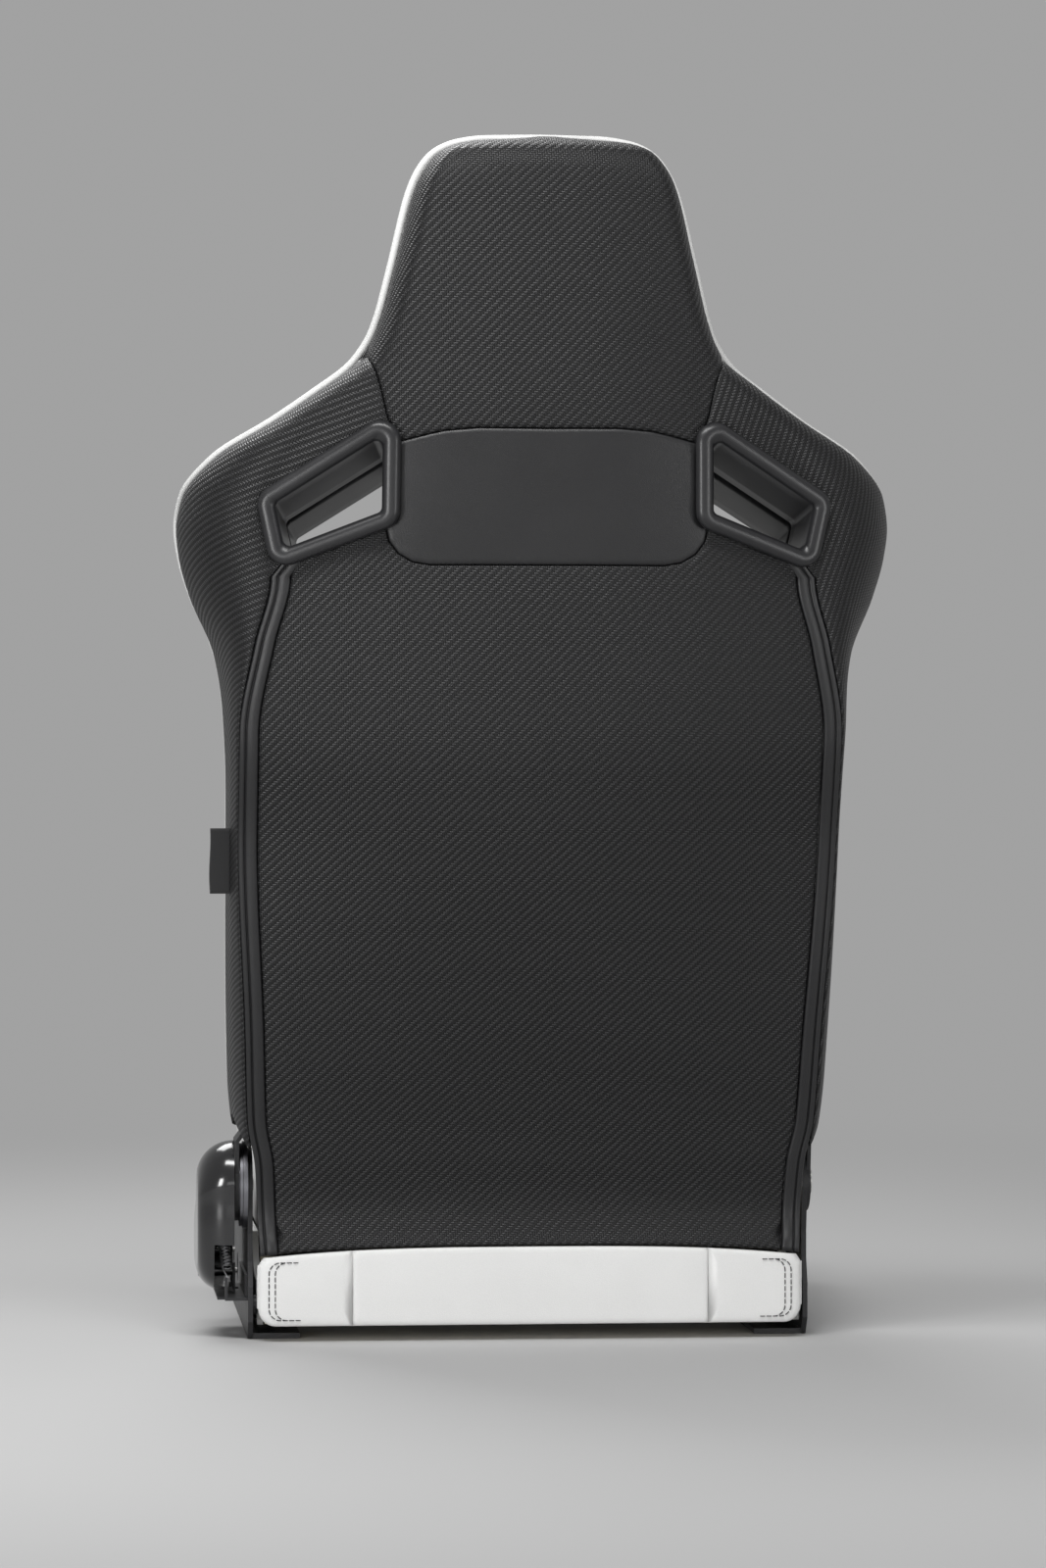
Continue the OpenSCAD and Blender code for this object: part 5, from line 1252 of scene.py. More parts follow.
def stitches(points, normals, shift):
    """Meshes of the stitches along a line on a surface, moved sideways by shift."""
    length = run_along(points)
    made = []
    for start in np.arange(2, length[-1] - STITCH, STITCH + STITCH_GAP):
        at = start + STITCH * np.array([0, 0.2, 0.5, 0.8, 1])
        middle = np.stack([np.interp(at, length, points[:, k]) for k in range(3)], -1)
        normal = np.stack([np.interp(at, length, normals[:, k]) for k in range(3)], -1)
        ahead = middle[-1] - middle[0]
        side = np.cross(ahead, normal[2])
        side /= np.linalg.norm(side) + 1e-9
        rise = THREAD_R * np.array([-0.9, 0.5, 0.8, 0.5, -0.9])
        made.append(bar_mesh(middle + side * shift + normal * rise[:, None], THREAD_R, 6))
    return made


def seam_rows(name, body, lines, shifts=(-SEAM_PAIR, SEAM_PAIR)):
    """One piece with all stitches of some lines, each given as (points, normals)."""
    made = [mesh for points, normals in lines for shift in shifts
            for mesh in stitches(points, normals, shift)]
    add_piece(name, joined(made), BLACK_THREAD, body, "black_leatherette")


def flipped_line(line):
    return line[0] * (-1, 1, 1), line[1] * (-1, 1, 1)

# %% [markdown]
# The back's front side has two torso bolsters, two shoulder pads round the openings, a head pad,
# a plain yoke and a centre insert with sewn channels. Left and right are the same form mirrored,
# so each pair is simulated once.

# %% Pads of the back
insert_x = 300 / 2
INSERT_LOW, INSERT_TOP = 132, 586  # heights of the back's centre insert
back_insert_x = curve([(132, insert_x + 45), (150, insert_x + 38), (170, insert_x), (300, insert_x),
                       (450, insert_x - 4), (540, insert_x - 22), (586, insert_x - 40)])
AHEAD = (0, 1, 0)  # rays from in front of the seat
SEAM_GROOVE, CHANNEL_GROOVE = (2.2, 1.6), (2.0, 1.8)  # width and depth


def front_line(piece, seen):
    """Line on the front of a piece, through points given as seen from the front, (x, z)."""
    return on_surface(piece, [(x, -500, z) for x, z in dense(seen, 4)], AHEAD)


def eased(line, rounds=3):
    """The line with its corners cut round after round, until they are round."""
    line = np.array(line, float)
    for _ in range(rounds):
        cut = np.stack([line[:-1] * 0.75 + line[1:] * 0.25, line[:-1] * 0.25 + line[1:] * 0.75], 1)
        line = np.concatenate([line[:1], cut.reshape(-1, 2), line[-1:]])
    return line


torso_z = np.linspace(212, 566, 40)
torso_share = curve([(200, 0.72), (300, 0.66), (500, 0.66), (586, 0.62)])
torso = soft_form("torso_pad_left", "torso_bolster_left", WHITE, 5.0, 8)
draw_to(torso, half_pipe)
torso_x = back_insert_x(torso_z) + torso_share(torso_z) * (
    outer_x(torso_z) - PIPE_R - 1 - back_insert_x(torso_z))
torso_seam = front_line(torso, np.stack([torso_x, torso_z], -1))
press_line(torso, torso_seam[0], *SEAM_GROOVE)
declare_pair(torso, "torso_bolster")

shoulder = soft_form("shoulder_cushion_left", "shoulder_pad_left", WHITE, 4.5, 6)
draw_to(shoulder, half_pipe)
shoulder_z = np.linspace(598, 736, 24)
shoulder_seam_x = (outer_x(shoulder_z) - PIPE_R - 1) - 0.2 * (outer_x(shoulder_z) - PIPE_R - 91)
shoulder_seam = front_line(shoulder, np.stack([shoulder_seam_x, shoulder_z], -1))
press_line(shoulder, shoulder_seam[0], *SEAM_GROOVE)
declare_pair(shoulder, "shoulder_pad")

head = soft_form("head_cushion", "head_pad", WHITE, 5.0, 10)
draw_to(head, whole_pipe, reach=22)
head_stitched = np.array([(-96, 756), (-88, 800), (-72, 900), (-62, 920), (-46, 928)])
head_line = front_line(head, eased(np.concatenate([head_stitched, mirrored(head_stitched)[::-1]])))
press_line(head, head_line[0], 2.2, 1.8)
declare_pad(head, "head_pad")

yoke_front = soft_form("yoke_cushion", "yoke_front_pad", WHITE, 5.0, 6, air=False)
declare_pad(yoke_front, "yoke_front_pad")

BACK_CHANNELS, CUSHION_CHANNELS = 8, 6
back_insert = soft_form("back_centre", "back_insert", WHITE, 4.0, 3, air=False)
channel_lines = []
for number in range(1, BACK_CHANNELS):
    z = INSERT_LOW + (INSERT_TOP - INSERT_LOW) * number / BACK_CHANNELS
    half = float(back_insert_x(z)) - 3
    channel_lines.append(front_line(back_insert, [(-half, z), (half, z)]))
    press_line(back_insert, channel_lines[-1][0], *CHANNEL_GROOVE)
declare_pad(back_insert, "back_insert")

seam_rows("back_contrast_stitching", "backrest",
          [torso_seam, flipped_line(torso_seam), shoulder_seam, flipped_line(shoulder_seam),
           head_line])
seam_rows("back_channel_stitching", "backrest", channel_lines, shifts=(0,))

# %% [markdown]
# The seat cushion is made the same way: a channelled centre, a roll under the thighs and a bolster
# on each side. It belongs to the base, because only the back reclines.

# %% Seat cushion
DOWN = (0, 0, -1)  # rays from above
CENTRE_FRONT = -178


def top_line(piece, seen):
    """Line on the top of a piece, through points given as seen from above, (x, y)."""
    return on_surface(piece, [(x, y, 500) for x, y in dense(seen, 4)], DOWN)


centre = soft_form("cushion_centre", "cushion_insert", WHITE, 4.0, 3, air=False)
cushion_lines = []
for number in range(1, CUSHION_CHANNELS):
    y = CENTRE_FRONT + (PIVOT_Y - 54 - CENTRE_FRONT) * number / CUSHION_CHANNELS
    cushion_lines.append(top_line(centre, [(-insert_x + 4, y), (insert_x - 4, y)]))
    press_line(centre, cushion_lines[-1][0], *CHANNEL_GROOVE)
declare_pad(centre, "cushion_insert", "base")

bolster = soft_form("cushion_side_left", "cushion_bolster_left", WHITE, 5.0, 8)
bolster_seam = top_line(bolster, [(194, -268), (195.5, -200), (195.5, 0), (195.5, 150)])
press_line(bolster, bolster_seam[0], *SEAM_GROOVE)
declare_pair(bolster, "cushion_bolster", "base")

roll_pad = soft_form("thigh_cushion", "thigh_roll", WHITE, 5.0, 8)
roll_seam = top_line(roll_pad, [(-insert_x + 5, -240), (insert_x - 5, -240)])
press_line(roll_pad, roll_seam[0], *SEAM_GROOVE)
declare_pad(roll_pad, "thigh_roll", "base")

seam_rows("cushion_contrast_stitching", "base",
          [bolster_seam, flipped_line(bolster_seam), roll_seam])
seam_rows("cushion_channel_stitching", "base", cushion_lines, shifts=(0,))

# %% [markdown]
# The white band across the rear of the cushion is sewn from three pieces. It is made by the same
# panel maker as the back, only laid on a flat wall that curves in a little at its ends. Its top
# edge follows the arc that the hem of the back sweeps, so the back never rubs on it.

# %% Rear band of the cushion
CUSHION_X, SKIRT_Z, BAND_SEAM_X = 438 / 2, 12, 143
BAND_CORNER = 14
BAND_END = CUSHION_X - 0.5


def band_top(x):
    """Height of the band's top edge, just clear of the sweep of the hem."""
    reach = np.hypot(HEM_Y - PIVOT_Y, PIVOT_Z - hem_at(x)) + 1
    return PIVOT_Z - np.sqrt(reach**2 - (BAND_REAR - PIVOT_Y) ** 2) - 0.6


def band_place(flat):
    x, z = np.asarray(flat, float).T
    past = np.clip(np.abs(x) - 200, 0, None) / 19
    return np.stack([x, BAND_REAR - 0.6 - 3 * past**2, z], -1)


def band_direction(flat):
    return np.tile((0.0, 1.0, 0.0), (len(flat), 1))


band_lay = (band_place, band_direction)
corner_turn = np.linspace(0, np.pi / 2, 9)
band_reach = np.linspace(BAND_SEAM_X, BAND_END, 20)
end_piece = np.concatenate([
    dense([(BAND_SEAM_X, SKIRT_Z), (BAND_END - BAND_CORNER, SKIRT_Z)]),
    np.stack([BAND_END - BAND_CORNER + BAND_CORNER * np.sin(corner_turn),
              SKIRT_Z + BAND_CORNER - BAND_CORNER * np.cos(corner_turn)], -1)[1:],
    dense([(BAND_END, SKIRT_Z + BAND_CORNER), (BAND_END, band_top(CUSHION_X) - 6)])[1:],
    np.stack([band_reach, band_top(band_reach)], -1)[::-1][1:]])
middle_reach = np.linspace(-BAND_SEAM_X, BAND_SEAM_X, 72)
seam_top = float(band_top(BAND_SEAM_X))
middle_piece = np.concatenate([
    dense([(-BAND_SEAM_X, SKIRT_Z), (BAND_SEAM_X, SKIRT_Z)]),
    dense([(BAND_SEAM_X, SKIRT_Z), (BAND_SEAM_X, seam_top)])[1:],
    np.stack([middle_reach, band_top(middle_reach)], -1)[::-1][1:],
    dense([(-BAND_SEAM_X, seam_top), (-BAND_SEAM_X, SKIRT_Z)])[1:-1]])


for name, outline in (("band_middle", middle_piece), ("band_left", end_piece),
                      ("band_right", mirrored(end_piece)[::-1])):
    sewn_panel(name, "rear_band", WHITE, "white_leatherette", outline, [closed(outline)],
               bulge=0.5, puckers=0.16, step=5, body="base", lay=band_lay)

# two rows of black thread close each end and curve in at the top and the bottom
ROW_LOW, ROW_HIGH = 17, 63
band_rows = []
for side in (1, -1):
    for inward in (9, 14):
        x = CUSHION_X - inward
        corners = [(x - 26, ROW_LOW), (x, ROW_LOW), (x, ROW_HIGH), (x - 26, ROW_HIGH)]
        seen = rounded(corners, 9, 8)[8:24]
        seen = np.concatenate([[(x - 22, ROW_LOW)], seen, [(x - 22, ROW_HIGH)]])
        seen = dense(seen * (side, 1), 2)
        band_rows.append((band_place(seen) + (0, 0.5, 0), band_direction(seen)))
seam_rows("band_topstitching", "base", band_rows, shifts=(0,))

# %% [markdown]
# The skirts are flat strips of covered board. Their structural solids have the right outline, so a
# copy only needs its edges rounded, which a bevel does. The foam block behind the band is cut foam
# and keeps soft, open edges.


# %% Skirts and filler foam
def foam_finish(name):
    """Open-cell foam: pale, matt and finely pitted."""
    finish, tree, shader = new_finish(name, (0.78, 0.72, 0.55), 0.95)
    pits = cells(tree, place_on(tree, "Object"), 420).work("SMOOTH_MIN", 0.4, 0.1)
    slow = noise(tree, place_on(tree, "Object"), 30)
    colour_by(tree, shader, slow, (0.66, 0.6, 0.44), (0.8, 0.75, 0.6))
    raise_surface(tree, shader, pits, 0.0006, 0.9)
    return finish


FOAM = foam_finish("cut_foam")
BEVEL_ANGLE = math.radians(35)


def bevelled(piece, width, segments):
    """A bevel of the edges that turn by more than BEVEL_ANGLE."""
    bevel = piece.modifiers.new("edges", "BEVEL")
    bevel.width, bevel.segments, bevel.limit_method = width * MM, segments, "ANGLE"
    bevel.angle_limit = BEVEL_ANGLE
    return bevel


def rounded_copy(name, node, finish, slot, radius):
    """The node's own form with rounded edges, a filled piece of the base."""
    piece = linked(name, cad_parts[node].data.copy())
    bevel = bevelled(piece, radius, 3)
    bevel.harden_normals = True
    apply_modifiers(piece)
    dress(piece, finish)
    declare(piece, "base", slot, node)
    return piece


SKIRT_REAR = BAND_REAR - 5.3
corner_y0, corner_z0 = SKIRT_REAR - BAND_CORNER, SKIRT_Z + BAND_CORNER
for node in ("side_skirt_left", "side_skirt_right", "front_skirt"):
    skirt = rounded_copy(node + "_cover", node, WHITE, "white_leatherette", 1.2)
    if node != "front_skirt":
        # the lower rear corner is round, like the end of the rear band that it meets
        for vertex in skirt.data.vertices:
            past, z = vertex.co.y / MM - corner_y0, vertex.co.z / MM
            if past > 0 and z < corner_z0:
                vertex.co.z = (corner_z0 - math.sqrt(max(0, BAND_CORNER**2 - past**2))) * MM
rounded_copy("filler_block", "rear_filler_foam", FOAM, "foam", 2.0)

# %% [markdown]
# A folded tab of woven ribbon is caught in the left side seam. It is plain: two layers with a
# rounded fold at the free edge, bent a little so that it does not look like a plate.


# %% Woven side tab
def woven(name):
    """Narrow ribbon of plain weave."""
    finish, tree, shader = new_finish(name, (0.02, 0.02, 0.021), 0.75, Sheen_Weight=0.25)
    split = tree.nodes.new("ShaderNodeSeparateXYZ")
    tree.links.new(place_on(tree, "UV"), split.inputs[0])
    warp, weft = ((Number(tree, split.outputs[axis]) * 1400).wrap(1.0).hump() for axis in "XY")
    # the gaps between the threads are painted darker as shade
    colour_by(tree, shader, warp * weft, (0.008, 0.008, 0.008), (0.035, 0.035, 0.037))
    raise_surface(tree, shader, warp * 0.6 + weft * 0.4, 0.0003, 0.9)
    return finish


WEBBING = woven("black_webbing")
TAB_Z, TAB_W, TAB_ROWS = (358, 410), 16.6, 22


def hairpin(half):
    """Out along +half, round the fold at the free edge and back along -half."""
    out = [(TAB_W * s, half) for s in np.linspace(0, 0.94, 12)]
    turn = [(TAB_W * 0.94 + half * math.cos(a), half * math.sin(a))
            for a in np.linspace(1.2, -1.2, 6)]
    return out + turn + [(x, -y) for x, y in out[::-1]]


def turned(points, face, direction):
    """The face, turned over if it looks away from direction."""
    normal = np.cross(points[face[1]] - points[face[0]], points[face[2]] - points[face[0]])
    return face if normal @ np.array(direction, float) > 0 else face[::-1]


tab_section = hairpin(0.8) + hairpin(0.12)[::-1]
AROUND = len(tab_section)
tab_points, tab_flat = [], []
for z in np.linspace(*TAB_Z, TAB_ROWS):
    root = skin(0.81, z)
    edge_in = 0.5 * math.sin((z - TAB_Z[0]) * 0.11)
    for index, (out, thick) in enumerate(tab_section):
        curl = 1.5 * (out / TAB_W) ** 2 * math.sin((z - 350) / 26)
        tab_points.append((root[0] + 0.4 + out + edge_in * out / TAB_W,
                           root[1] + thick - 0.4 + curl, z))
        tab_flat.append((min(index, AROUND - 1 - index) * 1.2, z))
tab_rings = list(np.array(tab_points).reshape(TAB_ROWS, AROUND, 3))
tab_points, tab_faces = facing_out(ring_loft(tab_rings, closed=False))
tab_ends = [(k, k + 1, AROUND - 2 - k, AROUND - 1 - k) for k in range(AROUND // 2 - 1)]
for first, way in ((0, -1), ((TAB_ROWS - 1) * AROUND, 1)):
    tab_faces = tab_faces + [turned(tab_points, tuple(first + k for k in face), (0, 0, way))
                             for face in tab_ends]
tab = new_object("side_ribbon", tab_points, tab_faces, WEBBING, np.array(tab_flat))
declare(tab, "backrest", "black_webbing", "side_tab")

# %% [markdown]
# The springs and wires are round bars bent along a path. The zigzag springs are drawn as a wave
# whose bars lie almost straight across, as the real ones are bent, inside the same outline as
# their structural solids.

# %% Metal finishes
SCRATCH = 0.12  # how much rougher a scratched spot is


def bare_metal(name, colour, roughness):
    """Steel with a fine, uneven polish; metals stay darker where the noise is high."""
    finish, tree, shader = new_finish(name, colour, roughness, Metallic=1.0)
    place = place_on(tree, "Object")
    worn = noise(tree, place, 160, 3)
    colour_by(tree, shader, worn, [c * 0.82 for c in colour], [min(1, c * 1.12) for c in colour])
    rough_by(tree, shader, noise(tree, place, 900, 2), roughness - SCRATCH / 2, roughness + SCRATCH)
    return finish


def powder_coat(name):
    """Black powder coat: satin, with the faint orange-peel of the baked paint."""
    finish, tree, shader = new_finish(name, (0.017, 0.017, 0.018), 0.42)
    place = place_on(tree, "Object")
    colour_by(tree, shader, noise(tree, place, 25, 3), (0.013, 0.013, 0.014), (0.024, 0.024, 0.026))
    rough_by(tree, shader, noise(tree, place, 60, 2), 0.36, 0.5)
    raise_surface(tree, shader, noise(tree, place, 700, 2), 0.0004, 0.5)
    return finish


POWDER = powder_coat("black_powder_coat")
SPRING_STEEL = bare_metal("spring_steel", (0.34, 0.34, 0.35), 0.34)
BLACK_STEEL = bare_metal("blackened_steel", (0.10, 0.10, 0.105), 0.4)
ZINC = bare_metal("zinc_plate", (0.62, 0.62, 0.60), 0.3)
RECLINER_STEEL = bare_metal("pressed_steel", (0.24, 0.24, 0.26), 0.36)

# %% [markdown]
# The sizes of the frame come first, because the springs and wires reach from tube to tube. A
# zigzag spring needs only its number of bars, their pitch and how far they reach to each side.

# %% Springs and wires
TUBE_LEAN, POST_LEAN, POST_Z = 0.2146, 0.234, 575
SIDE_TUBE_D, HEAD_TUBE_D, POST_X, WIRE_D, SPRING_D = 25, 18, 90, 8, 3.5


def tube_y(z):
    """Where the side tubes of the back stand at a height."""
    return PIVOT_Y + 10 + (z - 165) * TUBE_LEAN


def post_y(z):
    """The same for the head posts."""
    return tube_y(POST_Z) + (z - POST_Z) * POST_LEAN


def bent(path, radius, count=6):
    """An open path in space with its corners rounded."""
    path = np.array(path, float)
    out = [path[0]]
    for before, corner, after in zip(path[:-2], path[1:-1], path[2:]):
        back, ahead = unit(before - corner), unit(after - corner)
        half = math.acos(np.clip(back @ ahead, -1, 1)) / 2
        if half > 1.54:  # the path runs nearly straight on here
            out.append(corner)
            continue
        cut = radius / math.tan(half)
        centre = corner + unit(back + ahead) * radius / math.sin(half)
        for share in np.linspace(0, 1, count):
            spoke = corner + (back * (1 - share) + ahead * share) * cut - centre
            out.append(centre + radius * unit(spoke))
    return np.array(out + [path[-1]])


def wave(count, pitch, reach, lean):
    """Bars of a zigzag spring: (along, across) places, with lean straightening the bars."""
    turn = np.linspace(0, np.pi * count, count * 10 + 1)
    return np.stack([pitch * turn / np.pi + lean * np.sin(2 * turn), -reach * np.cos(turn)], -1)


SPRING_FRONT, SPRING_REAR, SEAT_BARS, BACK_BARS, BACK_REACH = -188, 148, 14, 12, 14
SPRING_Z = 64 + 22 / 2 + 0.3 + SPRING_D / 2
seat_bars = []
for x in (-120, -40, 40, 120):
    along, across = wave(SEAT_BARS, (SPRING_REAR - SPRING_FRONT) / SEAT_BARS, 20, 2.6).T
    path = np.stack([x + across, SPRING_FRONT + along, np.full_like(along, SPRING_Z)], -1)
    path = np.concatenate([[(x - 12, SPRING_FRONT - 6, SPRING_Z)], path[2:-2],
                           [(x - 12, SPRING_REAR + 6, SPRING_Z)]])
    seat_bars.append(bar_mesh(path, SPRING_D / 2, 8))
add_piece("seat_zigzag_springs", joined(seat_bars), SPRING_STEEL, "base", "spring_steel",
          "seat_springs")

SIDE_X = 223 - 0.3 - SIDE_TUBE_D / 2
back_bars = []
reach = SIDE_X - SIDE_TUBE_D / 2 - 1.3
for height in (250, 340, 430):
    along, across = wave(BACK_BARS, 2 * (reach - BACK_REACH) / BACK_BARS, 16, 3.4).T
    x = np.concatenate([[-reach], along - reach + BACK_REACH, [reach]])
    z = height + np.concatenate([[0], -across, [0]])
    back_bars.append(bar_mesh(np.stack([x, tube_y(z) + 2, z], -1), SPRING_D / 2, 8))
add_piece("back_zigzag_springs", joined(back_bars), SPRING_STEEL, "backrest", "spring_steel",
          "back_springs")

wire_z0 = POST_Z + SIDE_TUBE_D / 2 + 0.3 + 0.9
wire_z1 = SEAT_HEIGHT - 160
wire_x1 = POST_X + HEAD_TUBE_D / 2 + 0.3
wire_path = bent([(SIDE_X, tube_y(POST_Z), wire_z0), (SIDE_X + 3, tube_y(POST_Z) + 3, wire_z0 + 14),
                  (WING_X - 36, post_y(640) - 6, 640), (WING_X - 44, post_y(684), 684),
                  (WING_X - 108, post_y(728), 728), (wire_x1 + 14, post_y(wire_z1), wire_z1),
                  (wire_x1, post_y(wire_z1), wire_z1)], 10)
wire = bar_mesh(wire_path, WIRE_D / 2, 12)
for mesh, side in ((wire, "left"), (flipped(wire), "right")):
    add_piece(f"wing_wire_bar_{side}", mesh, POWDER, "backrest", "black_steel",
              f"wing_wire_{side}")

# %% [markdown]
# The clock spring is a flat strip wound round the shaft. The return spring is a wire coil between
# the lever's tail and the hook of the bracket.

# %% Clock spring and return spring
LEVER_X, LEVER_T, LEFT_ARM_X = 247, 4, 233


def capped(mesh, count):
    """The loft with a face at each end, its faces turned outward; count is the ring's length."""
    points, faces = mesh
    last = len(points) - count
    return facing_out((points, faces + [tuple(range(count)),
                                        tuple(range(last, last + count))[::-1]]))


CLOCK_R0, CLOCK_PITCH, CLOCK_TURNS = 9 / 2 + 2.5, 3.4, 3.25
# section of the strip with its edges broken, out from the shaft and across
clock_section = [(0.15, 0), (0, 0.15), (0, 4.85), (0.15, 5), (1.05, 5), (1.2, 4.85), (1.2, 0.15),
                 (1.05, 0)]
clock_rings = []
for angle in np.linspace(0, 2 * np.pi * CLOCK_TURNS, 118):
    r = CLOCK_R0 + CLOCK_PITCH * angle / (2 * np.pi)
    clock_rings.append(np.array([
        (LEFT_ARM_X + 3.6 + across, PIVOT_Y + (r + out) * math.cos(angle),
         PIVOT_Z + (r + out) * math.sin(angle)) for out, across in clock_section]))
clock_mesh = capped(ring_loft(clock_rings, closed=False), len(clock_section))
add_piece("clock_spring_strip", clock_mesh, BLACK_STEEL, "backrest", "spring_steel",
          "recliner_clock_spring")

COIL_TURNS, COIL_R, COIL_WIRE_R = 9, 4.2, 0.7
coil_a = np.array([LEVER_X - 2, PIVOT_Y - 12, PIVOT_Z - 40.0])
coil_b = np.array([LEVER_X - 6, PIVOT_Y + 24, 31 + 15.0])
axis = coil_b - coil_a
coil_side = unit(np.cross(unit(axis), (0, 0, 1)))
coil_up = np.cross(unit(axis), coil_side)
coil_turn = np.linspace(0, 2 * np.pi * COIL_TURNS, COIL_TURNS * 18 + 1)
coil_share = 0.12 + 0.6 * coil_turn / coil_turn[-1]
coil_out = np.cos(coil_turn)[:, None] * coil_side + np.sin(coil_turn)[:, None] * coil_up
coil_path = coil_a + axis * coil_share[:, None] + COIL_R * coil_out
coil_path = np.concatenate([[coil_a + (LEVER_T + 3, 0, 0), coil_a], coil_path,
                            [coil_b + (-1, 0, 0), coil_b + (4, 0, 0)]])
add_piece("return_spring_coil", bar_mesh(coil_path, COIL_WIRE_R, 8), SPRING_STEEL, "base",
          "spring_steel", "lever_return_spring")

# %% [markdown]
# The recliner cover is a moulded cup. Its outline is a smooth closed curve, the cup is that curve
# scaled down in steps towards its outer face, and an inner set of rings gives it a wall. Boolean
# modifiers then cut the slot of the lever, the open corner and the screw holes, as in the mould.


# %% Recliner cover and lever grip
def smooth_loop(points, count):
    """Closed Catmull-Rom curve through points, resampled evenly."""
    points = np.array(points, float)
    out = []
    for i in range(len(points)):
        a, b, c, d = (points[(i + k - 1) % len(points)] for k in range(4))
        for t in np.linspace(0, 1, 12, endpoint=False):
            out.append(0.5 * (2 * b + (c - a) * t + (2 * a - 5 * b + 4 * c - d) * t**2
                              + (3 * b - a - 3 * c + d) * t**3))
    out = np.array(out + out[:1])
    run = run_along(out)
    even = np.linspace(0, run[-1], count, endpoint=False)
    return np.stack([np.interp(even, run, out[:, k]) for k in range(2)], -1)


def box_mesh(corner, size):
    """A box from its lowest corner."""
    x, y, z = np.array([corner, np.add(corner, size)], float).T
    points = np.array([(a, b, c) for a in x for b in y for c in z])
    return points, [(0, 1, 3, 2), (4, 6, 7, 5), (0, 4, 5, 1), (2, 3, 7, 6), (0, 2, 6, 4),
                    (1, 5, 7, 3)]


def cylinder_mesh(start, length, radius, sides=32):
    """A cylinder along X."""
    turn = np.linspace(0, 2 * np.pi, sides, endpoint=False)
    ring = np.stack([np.zeros(sides), radius * np.cos(turn), radius * np.sin(turn)], -1) + start
    return capped(ring_loft([ring, ring + (length, 0, 0)], closed=False), sides)


def combine(piece, meshes, operation):
    """Unites the meshes with the piece, or cuts them from it."""
    tools = []
    for number, mesh in enumerate(meshes):
        tool = new_object(f"tool_{number}", *mesh, piece.data.materials[0])
        change = piece.modifiers.new("change", "BOOLEAN")
        change.operation, change.object, change.solver = operation, tool, "EXACT"
        tools.append(tool)
    apply_modifiers(piece)
    for tool in tools:
        bpy.data.objects.remove(tool)


def soften_edges(piece, width):
    """Small round edges, with shading that keeps the flat faces flat."""
    bevel = bevelled(piece, width, 2)
    bevel.use_clamp_overlap = True
    apply_modifiers(piece)
    shade_smooth(piece)
    piece.data.set_sharp_from_angle(angle=math.radians(50))
    weighted = piece.modifiers.new("even_shading", "WEIGHTED_NORMAL")
    weighted.keep_sharp = True
    apply_modifiers(piece)


COVER_X0, COVER_X1, COVER_WALL = LEFT_ARM_X + 3 + 0.8, 266, 2.5
arc = np.radians(-15 + 24.4 * np.arange(9))
cover_points = [(PIVOT_Y + 36 * math.cos(a), PIVOT_Z + 36 * math.sin(a)) for a in arc]
cover_points += [(152, 108), (122, 98), (104, 84), (99, 66), (106, 48), (126, 39), (160, 36),
                 (200, 35), (228, 36), (244, 44), (251, 62), (253, 88)]
LOOP_POINTS = 96
cover_loop = smooth_loop(cover_points, LOOP_POINTS)
COVER_MID = np.array([198, 86])


def cover_rings(depth, start):
    """The outline, shrinking towards the outer face like a dome of that depth."""
    rings = []
    for a in np.radians(np.linspace(0, 84, 15)):
        places = COVER_MID + (cover_loop - COVER_MID) * (start - 0.40 * (1 - math.cos(a)))
        x = np.full((LOOP_POINTS, 1), COVER_X0 + depth * math.sin(a))
        rings.append(np.concatenate([x, places], axis=1))
    return rings


depth = COVER_X1 - COVER_X0
outer_rings = cover_rings(depth, 1.0)
inner_rings = cover_rings(depth - COVER_WALL, 1 - COVER_WALL / 52)
shell_points, shell_faces = ring_loft(outer_rings[::-1] + inner_rings, closed=False)
last = len(shell_points) - LOOP_POINTS
shell_faces = shell_faces + [tuple(range(LOOP_POINTS))[::-1],
                             tuple(range(last, last + LOOP_POINTS))]
cover = add_piece("recliner_shell", facing_out((shell_points, shell_faces)), GLOSS_PLASTIC, "base",
                  "black_plastic", "recliner_cover")
bosses = [(186, 50), (134, 62)]
BRACKET_X = COVER_X0 - 0.4
combine(cover, [cylinder_mesh((BRACKET_X, y, z), COVER_X1 - 2 - BRACKET_X, 4.5)
                for y, z in bosses], "UNION")
cuts = [box_mesh((COVER_X0 - 1, 198, 20), (17, 70, 56)),
        box_mesh((LEVER_X - 5, 130, PIVOT_Z - 14), (LEVER_T + 10, 75, 44))]
for y, z in bosses:
    cuts += [cylinder_mesh((BRACKET_X - 1, y, z), 40, 2.2, 24),
             cylinder_mesh((COVER_X1 - 5, y, z), 10, 4.2, 32)]
combine(cover, cuts, "DIFFERENCE")
soften_edges(cover, 0.5)
print("recliner cover", len(cover.data.polygons), "faces")

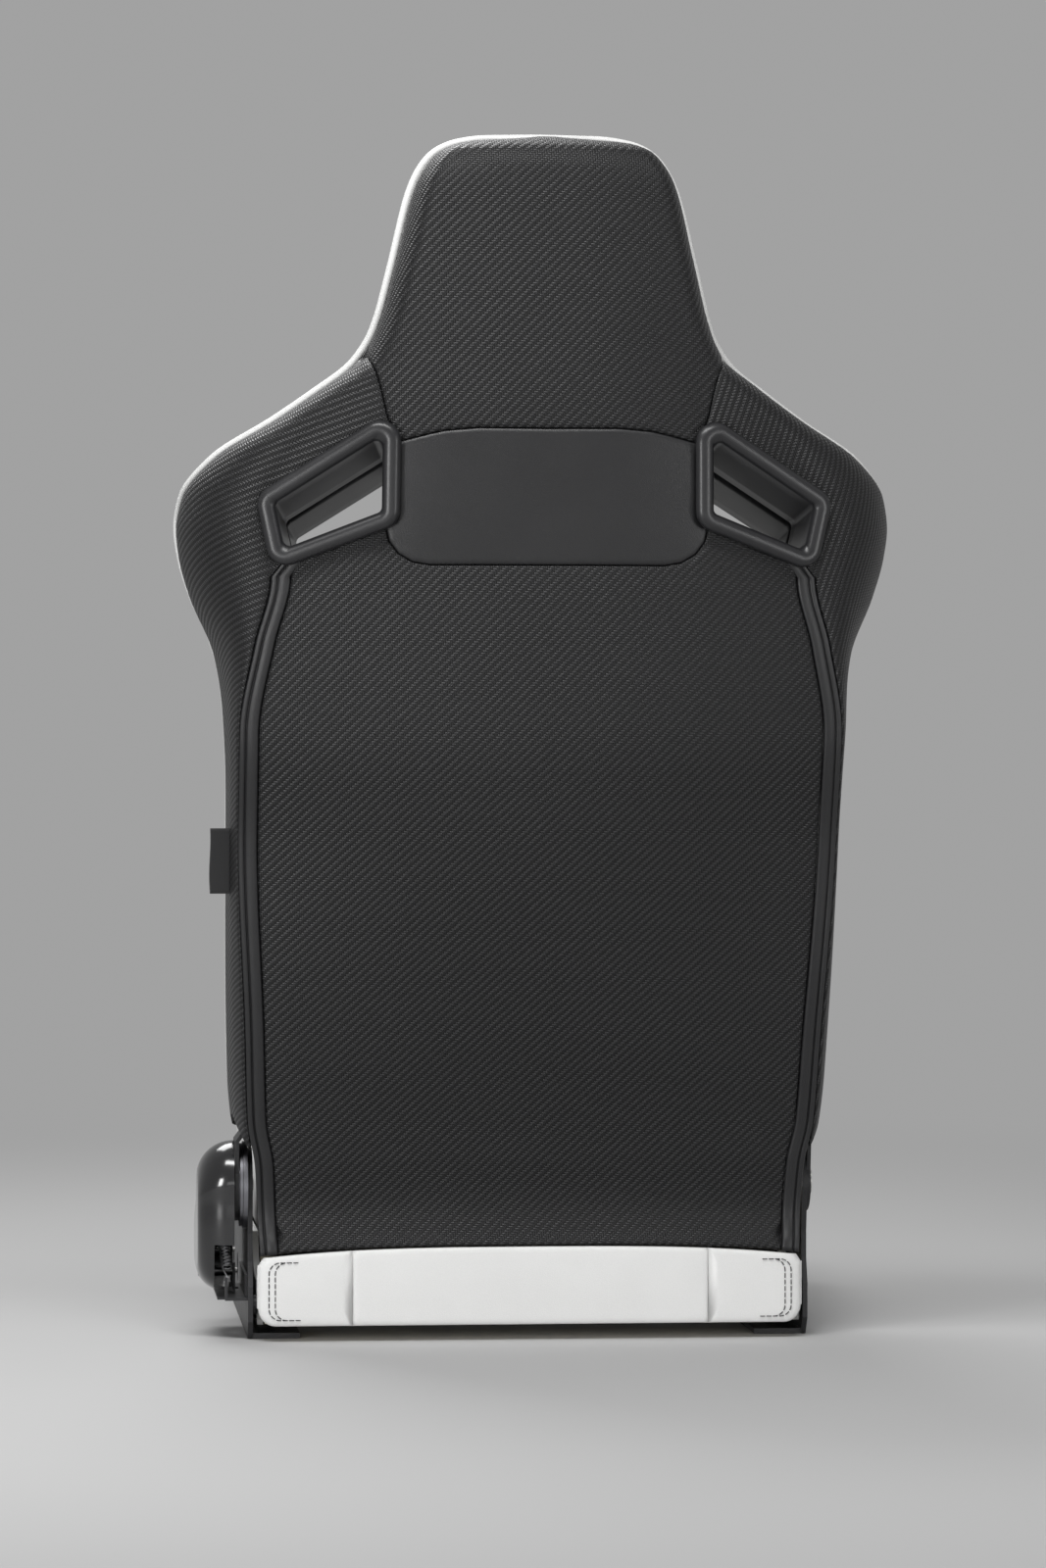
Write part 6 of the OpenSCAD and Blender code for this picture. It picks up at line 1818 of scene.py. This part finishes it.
LEVER_L, GRIP_SIDES = 118, 32
grip_rings = []
turn = np.linspace(0, 2 * np.pi, GRIP_SIDES, endpoint=False)
for u in np.concatenate([[0, 0.015, 0.04], np.linspace(0.08, 0.88, 14), [0.92, 0.96, 0.985, 1.0]]):
    y, z = PIVOT_Y - (LEVER_L * 0.42 + LEVER_L * 0.58 * u), PIVOT_Z + 4 * u
    tip = max(0, u - 0.85) / 0.15
    high = 13 - 2 * u - 4.8 * tip**2
    wide = 7.5 - u
    close = 2 * (1 - min(u, 0.05) / 0.05) ** 2 + (2.2 * tip**3)
    ribs = 0.35 * (0.5 - 0.5 * math.cos(2 * math.pi * 9 * np.clip((u - 0.2) / 0.6, 0, 1)))
    grip_rings.append(np.stack([LEVER_X + LEVER_T / 2 + (wide - close) * np.cos(turn),
                                np.full(GRIP_SIDES, y),
                                z + (high - close - ribs) * np.sin(turn)], -1))
grip_mesh = capped(ring_loft(grip_rings, closed=False), GRIP_SIDES)
grip = add_piece("lever_handle", grip_mesh, SATIN_PLASTIC, "lever", "black_plastic", "lever_grip")
lever_room = box_mesh((LEVER_X - 0.3, PIVOT_Y - LEVER_L + 4.7, PIVOT_Z - 12.5),
                      (LEVER_T + 0.6, LEVER_L, 25))
combine(grip, [lever_room], "DIFFERENCE")
soften_edges(grip, 0.4)

# %% [markdown]
# The rest of the steelwork keeps its structural shapes, which are the real ones. Only their
# materials are new. The sizes of tubes and plates never change here.

# %% Materials of the steelwork
finish_of = {
    POWDER: """base_plate_left base_plate_right front_cross_tube rear_cross_tube lower_rear_tube
        cover_bracket recliner_arm slave_arm side_tube_left side_tube_right shoulder_tube
        lower_back_tube head_post_left head_post_right head_top_tube release_lever""",
    ZINC: "weld_nuts arm_bolts slave_hinge_pin cover_screws release_shaft",
    RECLINER_STEEL: "recliner_base_half recliner_back_half",
    BLACK_STEEL: "zip_pulls",
}
finished = set()
for finish, nodes in finish_of.items():
    for node in nodes.split():
        finished.add(node)
        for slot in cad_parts[node].material_slots:
            slot.link, slot.material = "OBJECT", finish
shown = {name for name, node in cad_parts.items() if not node.hide_render}
print("structural solids that stay in view", len(shown), "of them without a new material:",
      sorted(shown - finished), "hidden ones named:", sorted(finished - shown))
